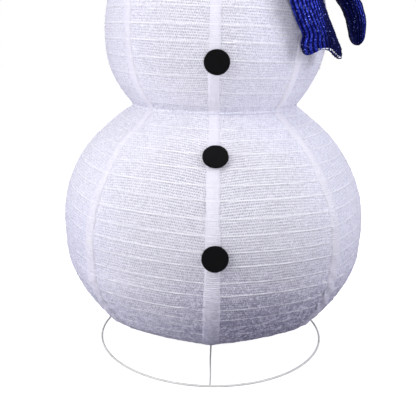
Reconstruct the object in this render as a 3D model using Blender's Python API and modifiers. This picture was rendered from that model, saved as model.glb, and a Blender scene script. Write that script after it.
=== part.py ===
"""Collapsible pop-up yard snowman.

Three mesh-fabric balls stand on a wire ground ring. A continuous spring wire is
sewn inside each ball, eight woven tapes run from the hem to the crown, and a
three-section telescoping pole in the middle holds everything up. When the pole
is shortened, the fabric and its spring wire fold down onto the ring.

Units are metres, +Z is up and the face looks along -Y. The origin is the middle
of the ground contact.
"""

import math

import bmesh
import bpy
from mathutils import Matrix, Vector

# ---------------------------------------------------------------- dimensions
GAP = 0.0003             # clearance kept between pieces that touch

# ground ring and hub
RING_R = 0.2296          # to the middle of the wire
RING_WIRE = 0.0040
SPOKE_WIRE = 0.0030
SPOKE_ANGLES = (0.0, 120.0, 240.0)   # measured from the front (-Y), towards +X
HUB_R = 0.0350
HUB_T = 0.0080
SHOULDER_R = 0.0250
SHOULDER_TOP = 0.0242
BOSS_R = 0.0180
BOSS_TOP = 0.0600

# telescoping pole: outer radius, wall and span of each tube
LOWER_TUBE = (0.0110, 0.0010, 0.0050, 0.3650)
MIDDLE_TUBE = (0.0095, 0.0010, 0.3470, 0.7070)
UPPER_TUBE = (0.0080, 0.0010, 0.6720, 1.0340)
COLLAR_H = 0.0400
COLLAR_DROP = 0.0200     # how far a collar reaches down over its own tube

# the three balls: centre height, radius, half-heights and shape powers
LOWER_BALL = dict(zc=0.255, r=0.2990, up=0.272, down=0.235, p_up=2.0, p_down=2.5)
CHEST_BALL = dict(zc=0.632, r=0.2185, up=0.222, down=0.222, p_up=2.0, p_down=2.0)
HEAD_BALL = dict(zc=0.915, r=0.1650, up=0.155, down=0.155, p_up=2.0, p_down=2.0)
HEM_Z = 0.0290
WAIST_Z = 0.4834
NECK_Z = 0.8140
CROWN_Z = 1.0420
SKIN_T = 0.0015
GORES = 8
GORE_DIP = 0.033         # how far the cloth between two tapes falls inside the round
SIDES = 32
LOWER_ROWS, CHEST_ROWS, HEAD_ROWS = 11, 8, 7

# sewn-in spring wire
SPRING_WIRE = 0.0020
SPRING_INSET = 0.0075
LOWER_PITCH = 0.0265     # along the cloth
CHEST_PITCH = 0.0290
HEAD_PITCH = 0.0290
SPRING_POINTS = 12       # on one turn

# tapes
TAPE_T = 0.0010
TAPE_LOWER_W = 0.0240
TAPE_UPPER_W = 0.0180

# sewn-on pieces
BUTTON_D = 0.0440
BUTTON_T = 0.0030
BUTTON_X = 0.0035
BUTTON_Z = dict(button_low=0.2648, button_middle=0.4196, button_top=0.5741)
EYE_D, EYE_Z, EYE_ANGLE = 0.0260, 0.962, 21.0
NOSE_D, NOSE_L, NOSE_Z = 0.0320, 0.0800, 0.922
MOUTH_D = 0.0150
MOUTH = ((-25.0, 0.893), (-15.5, 0.880), (-6.5, 0.873), (6.5, 0.873), (15.5, 0.880), (25.0, 0.893))

# scarf
SCARF_Z = 0.824
SCARF_OUT_R = 0.1930      # outside of the band round the neck
KNOT_ANGLE = 42.0

# hat
BRIM_R = 0.1350
BRIM_T = 0.0040
HAT_R_LOW = 0.0880
HAT_R_TOP = 0.0960
HAT_TOP = 1.2200

# internal lights
LIGHT_WIRE = 0.0018
LAMP_D = 0.0070


# ------------------------------------------------------------------- helpers
for old in list(bpy.data.objects):
    bpy.data.objects.remove(old, do_unlink=True)

home = bpy.data.collections.new("yard_snowman")
bpy.context.scene.collection.children.link(home)


def material(name, color, rough, metal=0.0):
    made = bpy.data.materials.new(name)
    made.use_nodes = True
    shader = made.node_tree.nodes["Principled BSDF"]
    shader.inputs["Base Color"].default_value = (*color, 1.0)
    shader.inputs["Roughness"].default_value = rough
    shader.inputs["Metallic"].default_value = metal
    made.diffuse_color = (*color, 1.0)
    return made


MESH_CLOTH = material("white_mesh_cloth", (0.80, 0.79, 0.84), 0.85)
TAPE_CLOTH = material("white_tape", (0.84, 0.84, 0.87), 0.75)
WHITE_WIRE = material("white_painted_wire", (0.80, 0.80, 0.82), 0.35)
SPRING = material("spring_wire_white", (0.72, 0.72, 0.74), 0.35)
FELT = material("black_felt", (0.010, 0.011, 0.013), 0.95)
ORANGE = material("orange_felt", (0.80, 0.24, 0.03), 0.9)
KNIT = material("blue_ribbed_cloth", (0.01, 0.05, 0.42), 0.55)
PLASTIC = material("white_plastic", (0.75, 0.75, 0.76), 0.45)
TUBE = material("white_tube", (0.70, 0.70, 0.72), 0.35)
COLLAR = material("grey_plastic", (0.18, 0.18, 0.19), 0.5)
LAMPS = material("clear_lamp_string", (0.85, 0.86, 0.80), 0.2)


def keep(obj, mat, smooth=40.0):
    """Names the object's material, shades it and puts it in the snowman's collection."""
    for collection in list(obj.users_collection):
        collection.objects.unlink(obj)
    home.objects.link(obj)
    obj.data.materials.clear()
    obj.data.materials.append(mat)
    if obj.type == "MESH":
        obj.data.shade_smooth()
        obj.data.set_sharp_from_angle(angle=math.radians(smooth))
    return obj


def new_object(name, bm, mat, smooth=40.0):
    mesh = bpy.data.meshes.new(name)
    bm.to_mesh(mesh)
    bm.free()
    return keep(bpy.data.objects.new(name, mesh), mat, smooth)


def profile_object(name, points, closed):
    """A profile in the XZ plane, points as (radius, height), running down its outer side."""
    mesh = bpy.data.meshes.new(name)
    edges = [(i, i + 1) for i in range(len(points) - 1)]
    if closed:
        edges.append((len(points) - 1, 0))
    mesh.from_pydata([(r, 0.0, z) for r, z in points], edges, [])
    obj = bpy.data.objects.new(name, mesh)
    bpy.context.scene.collection.objects.link(obj)
    return obj


def turned(name, points, mat, steps=24, closed=True, smooth=40.0):
    obj = profile_object(name, points, closed)
    screw = obj.modifiers.new("turn", "SCREW")
    screw.axis = "Z"
    screw.steps = screw.render_steps = steps
    screw.use_merge_vertices = True
    screw.merge_threshold = 0.00001
    screw.use_smooth_shade = True
    return keep(obj, mat, smooth)


def wire(name, points, diameter, mat, cyclic=False, sides=0, radii=None):
    """A bent wire through the points."""
    curve = bpy.data.curves.new(name, "CURVE")
    curve.dimensions = "3D"
    curve.bevel_depth = diameter / 2
    curve.bevel_resolution = sides
    curve.use_fill_caps = True
    spline = curve.splines.new("POLY")
    spline.points.add(len(points) - 1)
    for n, (point, place) in enumerate(zip(spline.points, points)):
        point.co = (*place, 1.0)
        point.radius = radii[n] if radii else 1.0
    spline.use_cyclic_u = cyclic
    return keep(bpy.data.objects.new(name, curve), mat)


def hoop(name, radius, thickness, height, mat, sides=48, around=4):
    bpy.ops.mesh.primitive_torus_add(
        major_radius=radius,
        minor_radius=thickness / 2,
        major_segments=sides,
        minor_segments=around,
        location=(0.0, 0.0, height),
    )
    obj = bpy.context.active_object
    obj.name = obj.data.name = name
    return keep(obj, mat)


# ------------------------------------------------------- the snowman's outline
def ball_radius(ball, z):
    """Radius of a ball at a height: an ellipse above the middle, a squarer one below."""
    dz = z - ball["zc"]
    half, power = (ball["up"], ball["p_up"]) if dz >= 0 else (ball["down"], ball["p_down"])
    return ball["r"] * math.sqrt(max(0.0, 1.0 - (abs(dz) / half) ** power))


def ball_outline(ball, low, high, rows):
    """(radius, height) points up a ball, evenly spaced along the cloth."""
    fine = 400
    # cosine spacing keeps the steep ends smooth
    heights = [
        low + (high - low) * (0.5 - 0.5 * math.cos(math.pi * i / fine)) for i in range(fine + 1)
    ]
    line = [(ball_radius(ball, z), z) for z in heights]
    run = [0.0]
    for a, b in zip(line, line[1:]):
        run.append(run[-1] + math.dist(a, b))
    found, at = [], 0
    for row in range(rows + 1):
        want = run[-1] * row / rows
        while at < fine - 1 and run[at + 1] < want:
            at += 1
        part = (want - run[at]) / max(run[at + 1] - run[at], 1e-9)
        found.append(
            tuple(line[at][k] + (line[at + 1][k] - line[at][k]) * part for k in (0, 1))
        )
    return found


def offset_outline(points, distance):
    """Moves an outline along its outward normal; negative is towards the axis."""
    moved = []
    for n, (r, z) in enumerate(points):
        a, b = points[max(n - 1, 0)], points[min(n + 1, len(points) - 1)]
        along = Vector((b[0] - a[0], b[1] - a[1])).normalized()
        normal = Vector((along.y, -along.x))
        moved.append((r + normal.x * distance, z + normal.y * distance))
    return moved


def gore_factor(angle):
    """1 on a tape, smaller midway between two tapes. The angle is in radians from -Y."""
    return 1.0 - GORE_DIP * (0.5 - 0.5 * math.cos(GORES * angle))


def place(radius, angle, z):
    """A point at an angle in degrees from the front, positive towards +X."""
    turn = math.radians(angle)
    return Vector((radius * math.sin(turn), -radius * math.cos(turn), z))


# ------------------------------------------------------------ ring, hub, pole
hoop("ground_ring", RING_R, RING_WIRE, RING_WIRE / 2, WHITE_WIRE, sides=64, around=6)

for name, angle in zip(("spoke_front", "spoke_right", "spoke_left"), SPOKE_ANGLES):
    inner, outer = HUB_R + GAP, RING_R - RING_WIRE / 2 - GAP
    wire(
        name,
        [place(inner + (outer - inner) * n / 3, angle, RING_WIRE / 2) for n in range(4)],
        SPOKE_WIRE,
        WHITE_WIRE,
        sides=2,
    )

bore = LOWER_TUBE[0] + GAP
turned(
    "base_hub",
    [
        (0.0, BOSS_TOP - 0.0553),
        (bore, BOSS_TOP - 0.0553),
        (bore, BOSS_TOP),
        (BOSS_R, BOSS_TOP),
        (BOSS_R, SHOULDER_TOP),
        (SHOULDER_R, SHOULDER_TOP),
        (SHOULDER_R, HUB_T),
        (HUB_R, HUB_T),
        (HUB_R, 0.0),
        (0.0, 0.0),
    ],
    PLASTIC,
    steps=32,
    closed=False,
    smooth=30.0,
)


def tube(name, spec):
    outer, wall, low, high = spec
    return turned(
        name,
        [(outer - wall, high), (outer, high), (outer, low), (outer - wall, low)],
        TUBE,
        smooth=30.0,
    )


def collar(name, own, inner):
    """A twist-lock collar on the end of one tube, with the next tube sliding through it."""
    top_of_tube = own[3]
    low, high = top_of_tube - COLLAR_DROP, top_of_tube - COLLAR_DROP + COLLAR_H
    grip = own[0] + 0.0045
    wide, narrow = own[0] + GAP, inner[0] + 0.0004
    return turned(
        name,
        [
            (narrow, high),
            (grip - 0.0015, high),
            (grip, high - 0.0015),
            (grip, high - 0.0100),
            (grip - 0.0010, high - 0.0115),
            (grip - 0.0010, low + 0.0060),
            (grip - 0.0020, low),
            (wide, low),
            (wide, top_of_tube + GAP),
            (narrow, top_of_tube + GAP),
        ],
        COLLAR,
        smooth=30.0,
    )


tube("lower_tube", LOWER_TUBE)
tube("middle_tube", MIDDLE_TUBE)
tube("upper_tube", UPPER_TUBE)
collar("lower_collar", LOWER_TUBE, MIDDLE_TUBE)
collar("middle_collar", MIDDLE_TUBE, UPPER_TUBE)

# disc that the hem hoop sits on, and the plate on top of the pole
HEM_R = ball_radius(LOWER_BALL, HEM_Z)
turned(
    "hem_plate",
    [
        (BOSS_R + GAP, SHOULDER_TOP + GAP + 0.0027),
        (HEM_R, SHOULDER_TOP + GAP + 0.0027),
        (HEM_R, SHOULDER_TOP + GAP),
        (BOSS_R + GAP, SHOULDER_TOP + GAP),
    ],
    PLASTIC,
    steps=32,
    smooth=30.0,
)
PLATE_TOP = 1.0390
CROWN_R = ball_radius(HEAD_BALL, CROWN_Z)
turned(
    "crown_plate",
    [
        (0.0, PLATE_TOP),
        (CROWN_R - 0.0085, PLATE_TOP),
        (CROWN_R - 0.0085, PLATE_TOP - 0.0030),
        (0.0130, PLATE_TOP - 0.0030),
        (0.0130, 1.0220),
        (UPPER_TUBE[0] + GAP, 1.0220),
        (UPPER_TUBE[0] + GAP, UPPER_TUBE[3] + GAP),
        (0.0, UPPER_TUBE[3] + GAP),
    ],
    PLASTIC,
    steps=32,
    closed=False,
    smooth=30.0,
)

# hoops where the spring wire closes on itself
WAIST_R = ball_radius(LOWER_BALL, WAIST_Z)
NECK_R = ball_radius(CHEST_BALL, NECK_Z)
hoop("hem_hoop", HEM_R - 0.0050, 0.0025, HEM_Z, SPRING, sides=32)
hoop("waist_hoop", WAIST_R - 0.0130, 0.0025, WAIST_Z, SPRING, sides=32)
hoop("neck_hoop", NECK_R - 0.0130, 0.0025, NECK_Z, SPRING, sides=32)
hoop("crown_hoop", CROWN_R - 0.0110, 0.0025, PLATE_TOP + GAP + 0.00125, SPRING, sides=32)


# ------------------------------------------------------------------ the skins
def skin(name, ball, low, high, rows):
    outline = ball_outline(ball, low, high, rows)[::-1]
    helper = profile_object(name + "_turn", outline, False)
    screw = helper.modifiers.new("turn", "SCREW")
    screw.axis = "Z"
    screw.steps = screw.render_steps = SIDES
    screw.use_merge_vertices = True
    screw.merge_threshold = 0.00001
    bpy.context.view_layer.update()
    graph = bpy.context.evaluated_depsgraph_get()
    mesh = bpy.data.meshes.new_from_object(helper.evaluated_get(graph))
    bpy.data.objects.remove(helper, do_unlink=True)
    mesh.name = name
    for vertex in mesh.vertices:
        angle = math.atan2(vertex.co.x, -vertex.co.y)
        vertex.co.xy *= gore_factor(angle)
    obj = keep(bpy.data.objects.new(name, mesh), MESH_CLOTH, 50.0)
    wall = obj.modifiers.new("cloth", "SOLIDIFY")
    wall.thickness = SKIN_T
    wall.offset = -1.0
    wall.use_even_offset = False
    return obj


EDGE = 0.0005
skin("lower_skin", LOWER_BALL, HEM_Z, WAIST_Z - EDGE, LOWER_ROWS)
skin("chest_skin", CHEST_BALL, WAIST_Z + EDGE, NECK_Z - EDGE, CHEST_ROWS)
skin("head_skin", HEAD_BALL, NECK_Z + EDGE, CROWN_Z, HEAD_ROWS)


# ------------------------------------------------------------ the spring wires
def spring(name, ball, low, high, pitch):
    """A wire that winds up the inside of a ball at an even pitch along the cloth."""
    inner = offset_outline(
        [(r * (1.0 - GORE_DIP), z) for r, z in ball_outline(ball, low, high, 120)], -SPRING_INSET
    )
    run = [0.0]
    for a, b in zip(inner, inner[1:]):
        run.append(run[-1] + math.dist(a, b))
    margin = 0.012
    turns = (run[-1] - 2 * margin) / pitch
    count = int(turns * SPRING_POINTS)
    points, at = [], 0
    for n in range(count + 1):
        want = margin + (run[-1] - 2 * margin) * n / count
        while at < len(run) - 2 and run[at + 1] < want:
            at += 1
        part = (want - run[at]) / (run[at + 1] - run[at])
        r = inner[at][0] + (inner[at + 1][0] - inner[at][0]) * part
        z = inner[at][1] + (inner[at + 1][1] - inner[at][1]) * part
        points.append(place(r, 360.0 * n / SPRING_POINTS, z))
    return wire(name, points, SPRING_WIRE, SPRING)


spring("lower_spring_wire", LOWER_BALL, HEM_Z, WAIST_Z, LOWER_PITCH)
spring("chest_spring_wire", CHEST_BALL, WAIST_Z, NECK_Z, CHEST_PITCH)
spring("head_spring_wire", HEAD_BALL, NECK_Z, CROWN_Z, HEAD_PITCH)


# ------------------------------------------------------------------ the tapes
def strip(name, centre_line, columns, thickness, mat):
    """A band of cloth. centre_line gives, for each row, (points across the band)."""
    bm = bmesh.new()
    rows = len(centre_line)
    bmesh.ops.create_grid(bm, x_segments=columns - 1, y_segments=rows - 1, size=1.0)
    bm.verts.ensure_lookup_table()
    ordered = sorted(bm.verts, key=lambda v: (round(v.co.y, 4), round(v.co.x, 4)))
    for n, vertex in enumerate(ordered):
        vertex.co = centre_line[n // columns][n % columns]
    bmesh.ops.recalc_face_normals(bm, faces=bm.faces)
    middle = bm.faces[:][len(bm.faces) // 2]
    out = middle.calc_center_median()
    if middle.normal.dot(Vector((out.x, out.y, 0.0))) < 0:
        bmesh.ops.reverse_faces(bm, faces=bm.faces)
    obj = new_object(name, bm, mat, 50.0)
    wall = obj.modifiers.new("cloth", "SOLIDIFY")
    wall.thickness = thickness
    wall.offset = 1.0
    return obj


def cloth_line():
    """The outline of the whole body from hem to crown, on a tape."""
    line = ball_outline(LOWER_BALL, HEM_Z + 0.002, WAIST_Z - EDGE, LOWER_ROWS)
    line += ball_outline(CHEST_BALL, WAIST_Z + EDGE, NECK_Z - EDGE, CHEST_ROWS)
    line += ball_outline(HEAD_BALL, NECK_Z + EDGE, CROWN_Z - 0.003, HEAD_ROWS)
    return line


def tapes():
    raised = []
    line = cloth_line()
    sizes = (LOWER_ROWS + 1, CHEST_ROWS + 1, HEAD_ROWS + 1)
    start = 0
    for size in sizes:
        raised += offset_outline(line[start : start + size], 0.0008)
        start += size
    for number in range(GORES):
        angle = 360.0 * number / GORES
        side = place(1.0, angle + 90.0, 0.0)
        rows = []
        for n, (r, z) in enumerate(raised):
            width = TAPE_LOWER_W if n < sizes[0] else TAPE_UPPER_W
            # a tape is no wider than the cloth that it lies on
            half = min(width / 2, r * 0.10 + 0.002)
            middle = place(r, angle, z)
            rows.append([middle - side * half, middle + side * half])
        strip(f"seam_tape_{number + 1}", rows, 2, TAPE_T, TAPE_CLOTH)


tapes()


# -------------------------------------------------------- buttons, face pieces
def surface_frame(ball, angle, z, lift, shift=0.0):
    """A frame standing on the cloth: local Z points straight out of it."""
    step = 0.002
    low, high = ball_radius(ball, z - step), ball_radius(ball, z + step)
    slope = Vector((high - low, 2 * step)).normalized()
    normal = place(slope.y, angle, -slope.x)
    spot = place(ball_radius(ball, z), angle, z) + normal * lift
    across = place(1.0, angle + 90.0, 0.0)
    up = normal.cross(across)
    turn = Matrix((across, up, normal)).transposed().to_4x4()
    return Matrix.Translation(spot + across * shift) @ turn


def disc(name, diameter, thickness, frame, mat, sides=24, bevel=0.0006):
    bm = bmesh.new()
    bmesh.ops.create_cone(
        bm,
        cap_ends=True,
        segments=sides,
        radius1=diameter / 2,
        radius2=diameter / 2,
        depth=thickness,
        matrix=Matrix.Translation((0.0, 0.0, thickness / 2)),
    )
    obj = new_object(name, bm, mat, 30.0)
    obj.matrix_world = frame
    if bevel:
        edge = obj.modifiers.new("edge", "BEVEL")
        edge.width = bevel
        edge.segments = 1
        edge.limit_method = "ANGLE"
    return obj


LIFT = 0.0008 + TAPE_T + 0.0012    # above the cloth and the front tape
disc("button_low", BUTTON_D, BUTTON_T, surface_frame(LOWER_BALL, 0.0, BUTTON_Z["button_low"], LIFT, BUTTON_X), FELT)
disc("button_middle", BUTTON_D, BUTTON_T, surface_frame(LOWER_BALL, 0.0, BUTTON_Z["button_middle"], LIFT, BUTTON_X), FELT)
disc("button_top", BUTTON_D, BUTTON_T, surface_frame(CHEST_BALL, 0.0, BUTTON_Z["button_top"], LIFT, BUTTON_X), FELT)

disc("eye_left", EYE_D, 0.003, surface_frame(HEAD_BALL, -EYE_ANGLE, EYE_Z, 0.0012), FELT, 20)
disc("eye_right", EYE_D, 0.003, surface_frame(HEAD_BALL, EYE_ANGLE, EYE_Z, 0.0012), FELT, 20)
for number, (angle, z) in enumerate(MOUTH):
    disc(f"mouth_dot_{number + 1}", MOUTH_D, 0.003, surface_frame(HEAD_BALL, angle, z, 0.0028 if abs(angle) < 8 else 0.0012), FELT, 14, 0.0)

bm = bmesh.new()
bmesh.ops.create_cone(
    bm,
    cap_ends=True,
    segments=20,
    radius1=NOSE_D / 2,
    radius2=0.0025,
    depth=NOSE_L,
    matrix=Matrix.Translation((0.0, 0.0, NOSE_L / 2)),
)
nose = new_object("nose", bm, ORANGE, 30.0)
nose.matrix_world = surface_frame(HEAD_BALL, 0.0, NOSE_Z, LIFT)


# ---------------------------------------------------------------------- scarf
def scarf_wrap():
    """A soft band round the neck that fills the groove between chest and head."""
    outline = [
        (0.166, 0.044),
        (0.180, 0.038),
        (0.190, 0.021),
        (0.193, 0.000),
        (0.190, -0.021),
        (0.181, -0.035),
        (0.168, -0.039),
        (0.156, -0.029),
        (0.147, -0.005),
        (0.153, 0.016),
        (0.160, 0.034),
    ]
    return turned("scarf_wrap", [(r, SCARF_Z + z) for r, z in outline], KNIT, steps=32, smooth=70.0)


def scarf_knot():
    bm = bmesh.new()
    bmesh.ops.create_uvsphere(bm, u_segments=16, v_segments=10, radius=1.0)
    for vertex in bm.verts:
        vertex.co = Vector((vertex.co.x * 0.034, vertex.co.y * 0.019, vertex.co.z * 0.036))
    obj = new_object("scarf_knot", bm, KNIT, 60.0)
    obj.location = place(SCARF_OUT_R + 0.0197, KNOT_ANGLE, SCARF_Z - 0.004)
    obj.rotation_euler = (0.0, 0.0, math.radians(KNOT_ANGLE))
    return obj


# each row: height, then x and y of the tail's left and right edge
FRONT_TAIL = (
    (0.7820, 0.0951, -0.1622, 0.1388, -0.1268),
    (0.7450, 0.1046, -0.1775, 0.1577, -0.1371),
    (0.7100, 0.1137, -0.1907, 0.1739, -0.1444),
    (0.6748, 0.1205, -0.1964, 0.1855, -0.1413),
    (0.6590, 0.1259, -0.1959, 0.1922, -0.1397),
    (0.6432, 0.1327, -0.1931, 0.1997, -0.1362),
    (0.6273, 0.1416, -0.1869, 0.2082, -0.1304),
    (0.6176, 0.1454, -0.1834, 0.2136, -0.1255),
    (0.6078, 0.1440, -0.1830, 0.2196, -0.1193),
    (0.5979, 0.1440, -0.1818, 0.2253, -0.1128),
    (0.5829, 0.1503, -0.1735, 0.2277, -0.1080),
)
BACK_TAIL = (
    (0.7820, 0.1456, -0.1249, 0.1680, -0.0930),
    (0.7550, 0.1662, -0.1176, 0.1906, -0.0885),
    (0.7220, 0.1977, -0.0881, 0.2321, -0.0641),
    (0.6861, 0.2250, -0.0480, 0.2713, -0.0420),
    (0.6681, 0.2371, -0.0480, 0.2791, -0.0420),
    (0.6500, 0.2447, -0.0480, 0.2845, -0.0420),
    (0.6317, 0.2506, -0.0480, 0.2842, -0.0420),
    (0.6170, 0.2537, -0.0480, 0.2813, -0.0430),
    (0.6070, 0.2610, -0.0470, 0.2745, -0.0440),
)


def scarf_tail(name, stations, bulge, thickness):
    """A tail that hangs from under the knot down over the chest, crowned across its width."""
    rows, columns = [], 5
    for z, x_left, y_left, x_right, y_right in reversed(stations):
        left, right = Vector((x_left, y_left, z)), Vector((x_right, y_right, z))
        across = (right - left).normalized()
        out = Vector((across.y, -across.x, 0.0))
        row = []
        for c in range(columns):
            t = c / (columns - 1)
            row.append(left.lerp(right, t) + out * bulge * (1.0 - (2.0 * t - 1.0) ** 2))
        rows.append(row)
    return strip(name, rows, columns, thickness, KNIT)


scarf_wrap()
scarf_knot()
scarf_tail("scarf_tail_front", FRONT_TAIL, 0.0060, 0.0060)
scarf_tail("scarf_tail_back", BACK_TAIL, 0.0030, 0.0120)


# ------------------------------------------------------------------------ hat
BRIM_LOW = CROWN_Z + 0.0012
turned(
    "hat_brim",
    [
        (0.070, BRIM_LOW + BRIM_T),
        (BRIM_R - 0.0015, BRIM_LOW + BRIM_T),
        (BRIM_R, BRIM_LOW + BRIM_T - 0.0012),
        (BRIM_R, BRIM_LOW + 0.0012),
        (BRIM_R - 0.0015, BRIM_LOW),
        (0.070, BRIM_LOW),
    ],
    FELT,
    steps=40,
    smooth=30.0,
)
CROWN_LOW = BRIM_LOW + BRIM_T + GAP
turned(
    "hat_crown",
    [
        (0.0, HAT_TOP),
        (HAT_R_TOP - 0.0060, HAT_TOP),
        (HAT_R_TOP - 0.0018, HAT_TOP - 0.0018),
        (HAT_R_TOP, HAT_TOP - 0.0060),
        (HAT_R_LOW, CROWN_LOW),
        (HAT_R_LOW - 0.0030, CROWN_LOW),
        (HAT_R_TOP - 0.0030, HAT_TOP - 0.0060),
        (0.0, HAT_TOP - 0.0060),
    ],
    FELT,
    steps=32,
    closed=False,
    smooth=30.0,
)
BAND_H = 0.030
turned(
    "hat_band",
    [
        (HAT_R_LOW + 0.0020, CROWN_LOW + BAND_H),
        (HAT_R_LOW + 0.0045, CROWN_LOW + BAND_H),
        (HAT_R_LOW + 0.0045, CROWN_LOW + 0.0003),
        (HAT_R_LOW + 0.0020, CROWN_LOW + 0.0003),
    ],
    KNIT,
    steps=32,
    smooth=30.0,
)


# ---------------------------------------------------------------- light string
def light_string():
    """A string of lamps that winds up inside the balls; the wire swells at each lamp."""
    stretches = (
        (LOWER_BALL, 0.075, 0.440, 2.5, 0.74),
        (CHEST_BALL, 0.520, 0.780, 2.0, 0.74),
        (HEAD_BALL, 0.850, 0.990, 1.5, 0.70),
    )
    points, radii, turn = [], [], 200.0
    for ball, low, high, turns, share in stretches:
        steps = int(turns * 16)
        for n in range(steps + 1):
            t = n / steps
            z = low + (high - low) * t
            points.append(place(share * ball_radius(ball, z), turn, z))
            if n < steps:
                turn += 360.0 * turns / steps
        if ball is not HEAD_BALL:
            # the string dips in towards the pole to pass through the hoop
            joint = WAIST_Z if ball is LOWER_BALL else NECK_Z
            for inward, rise in ((0.078, -0.022), (0.066, 0.0), (0.078, 0.022)):
                turn += 12.0
                points.append(place(inward, turn, joint + rise))
        turn += 12.0
    for n in range(len(points)):
        radii.append(LAMP_D / LIGHT_WIRE if n % 4 == 2 else 1.0)
    return wire("light_string", points, LIGHT_WIRE, LAMPS, radii=radii)


light_string()

frame = bpy.data.objects.new("snowman_frame", None)
home.objects.link(frame)
for part in list(home.objects):
    if part is not frame:
        part.parent = frame
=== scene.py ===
"""Looks of the collapsible yard snowman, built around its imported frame."""

import math

import bmesh
import bpy
import numpy as np
from mathutils import Matrix, Vector


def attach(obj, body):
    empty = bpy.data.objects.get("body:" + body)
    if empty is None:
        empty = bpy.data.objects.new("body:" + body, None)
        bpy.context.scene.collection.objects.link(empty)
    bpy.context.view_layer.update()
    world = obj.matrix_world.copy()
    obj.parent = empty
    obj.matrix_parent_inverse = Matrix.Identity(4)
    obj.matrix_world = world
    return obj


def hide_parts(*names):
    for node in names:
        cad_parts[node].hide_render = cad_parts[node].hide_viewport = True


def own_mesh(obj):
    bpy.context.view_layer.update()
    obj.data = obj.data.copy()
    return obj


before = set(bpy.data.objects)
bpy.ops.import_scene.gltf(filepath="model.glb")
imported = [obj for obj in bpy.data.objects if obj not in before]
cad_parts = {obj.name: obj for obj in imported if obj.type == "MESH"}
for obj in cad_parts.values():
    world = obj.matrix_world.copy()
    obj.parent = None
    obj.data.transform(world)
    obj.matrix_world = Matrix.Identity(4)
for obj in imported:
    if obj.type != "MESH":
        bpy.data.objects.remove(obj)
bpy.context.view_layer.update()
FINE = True

# the same outline as the frame's
LOWER = dict(zc=0.255, r=0.2990, up=0.272, down=0.235, pu=2.0, pd=2.5)
CHEST = dict(zc=0.632, r=0.2185, up=0.222, down=0.222, pu=2.0, pd=2.0)
HEAD = dict(zc=0.915, r=0.1650, up=0.155, down=0.155, pu=2.0, pd=2.0)
HEM_Z, WAIST_Z, NECK_Z, CROWN_Z = 0.0290, 0.4834, 0.8140, 1.0420
GORE = math.pi / 4

home = bpy.data.collections.new("looks")
bpy.context.scene.collection.children.link(home)


# ---------------------------------------------------------------- mesh helpers
def finish_mesh(name, mesh, mat, smooth=True):
    obj = bpy.data.objects.new(name, mesh)
    home.objects.link(obj)
    mesh.materials.append(mat)
    if smooth:
        mesh.shade_smooth()
    mesh.validate()
    return obj


def raw_mesh(name, points, faces, mat, weave=None, smooth=True):
    """points (n, 3) and quads or triangles as an array, with an optional vector for each point."""
    mesh = bpy.data.meshes.new(name)
    points = np.asarray(points, np.float32)
    faces = np.asarray(faces, np.int32)
    mesh.vertices.add(len(points))
    mesh.vertices.foreach_set("co", points.ravel())
    mesh.loops.add(faces.size)
    mesh.loops.foreach_set("vertex_index", faces.ravel())
    mesh.polygons.add(len(faces))
    mesh.polygons.foreach_set("loop_start", np.arange(0, faces.size, faces.shape[1], dtype=np.int32))
    mesh.update(calc_edges=True)
    if weave is not None:
        layer = mesh.attributes.new("weave", "FLOAT_VECTOR", "POINT")
        layer.data.foreach_set("vector", np.asarray(weave, np.float32).ravel())
    return finish_mesh(name, mesh, mat, smooth)


def grid_faces(rows, cols, wrap=False, start=0, flip=False):
    r = np.arange(rows - 1)[:, None]
    c = np.arange(cols if wrap else cols - 1)[None, :]
    n = (c + 1) % cols
    f = np.stack([r * cols + c, r * cols + n, (r + 1) * cols + n, (r + 1) * cols + c], -1)
    f = f.reshape(-1, 4) + start
    return f[:, ::-1] if flip else f


def polymesh(name, points, faces, mat, weave=None, smooth=True):
    mesh = bpy.data.meshes.new(name)
    mesh.from_pydata([tuple(map(float, p)) for p in points], [], [tuple(map(int, f)) for f in faces])
    if weave is not None:
        layer = mesh.attributes.new("weave", "FLOAT_VECTOR", "POINT")
        layer.data.foreach_set("vector", np.asarray(weave, np.float32).ravel())
    return finish_mesh(name, mesh, mat, smooth)


def waves(seed, count, low, high):
    """A repeatable bumpy function of two or three variables, about -1 to 1."""
    made = np.random.default_rng(seed)
    k = made.uniform(low, high, (count, 3)) * made.choice([-1, 1], (count, 3))
    ph = made.uniform(0, 2 * np.pi, count)

    def value(x, y, z=0.0):
        total = 0.0
        for (a, b, c), p in zip(k, ph):
            total = total + np.sin(a * x + b * y + c * z + p)
        return total / math.sqrt(count)

    return value


def turned(name, profile, mat, steps=96, closed=True, wobble=None):
    """Turns (radius, height) points; closed joins the last point to the first."""
    profile = np.asarray(profile, float)
    ang = np.linspace(0, 2 * np.pi, steps, endpoint=False)
    r, z = profile[:, 0][:, None], profile[:, 1][:, None]
    if wobble is not None:
        r, z = wobble(r + 0 * ang, z + 0 * ang, ang[None, :])
    pts = np.stack([r * np.sin(ang), -r * np.cos(ang), z + 0 * ang], -1).reshape(-1, 3)
    faces = grid_faces(len(profile), steps, wrap=True)
    if closed:
        last = (len(profile) - 1) * steps
        a = np.arange(steps)
        b = (a + 1) % steps
        faces = np.vstack([faces, np.stack([last + a, last + b, b, a], -1)])
    arc = np.concatenate([[0], np.cumsum(np.hypot(*np.diff(profile, axis=0).T))])
    weave = np.stack(
        [np.broadcast_to(ang * 0.1, (len(profile), steps)), np.broadcast_to(arc[:, None], (len(profile), steps)), 0 * ang + 0 * arc[:, None]],
        -1,
    ).reshape(-1, 3)
    return raw_mesh(name, pts, faces, mat, weave)


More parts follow.
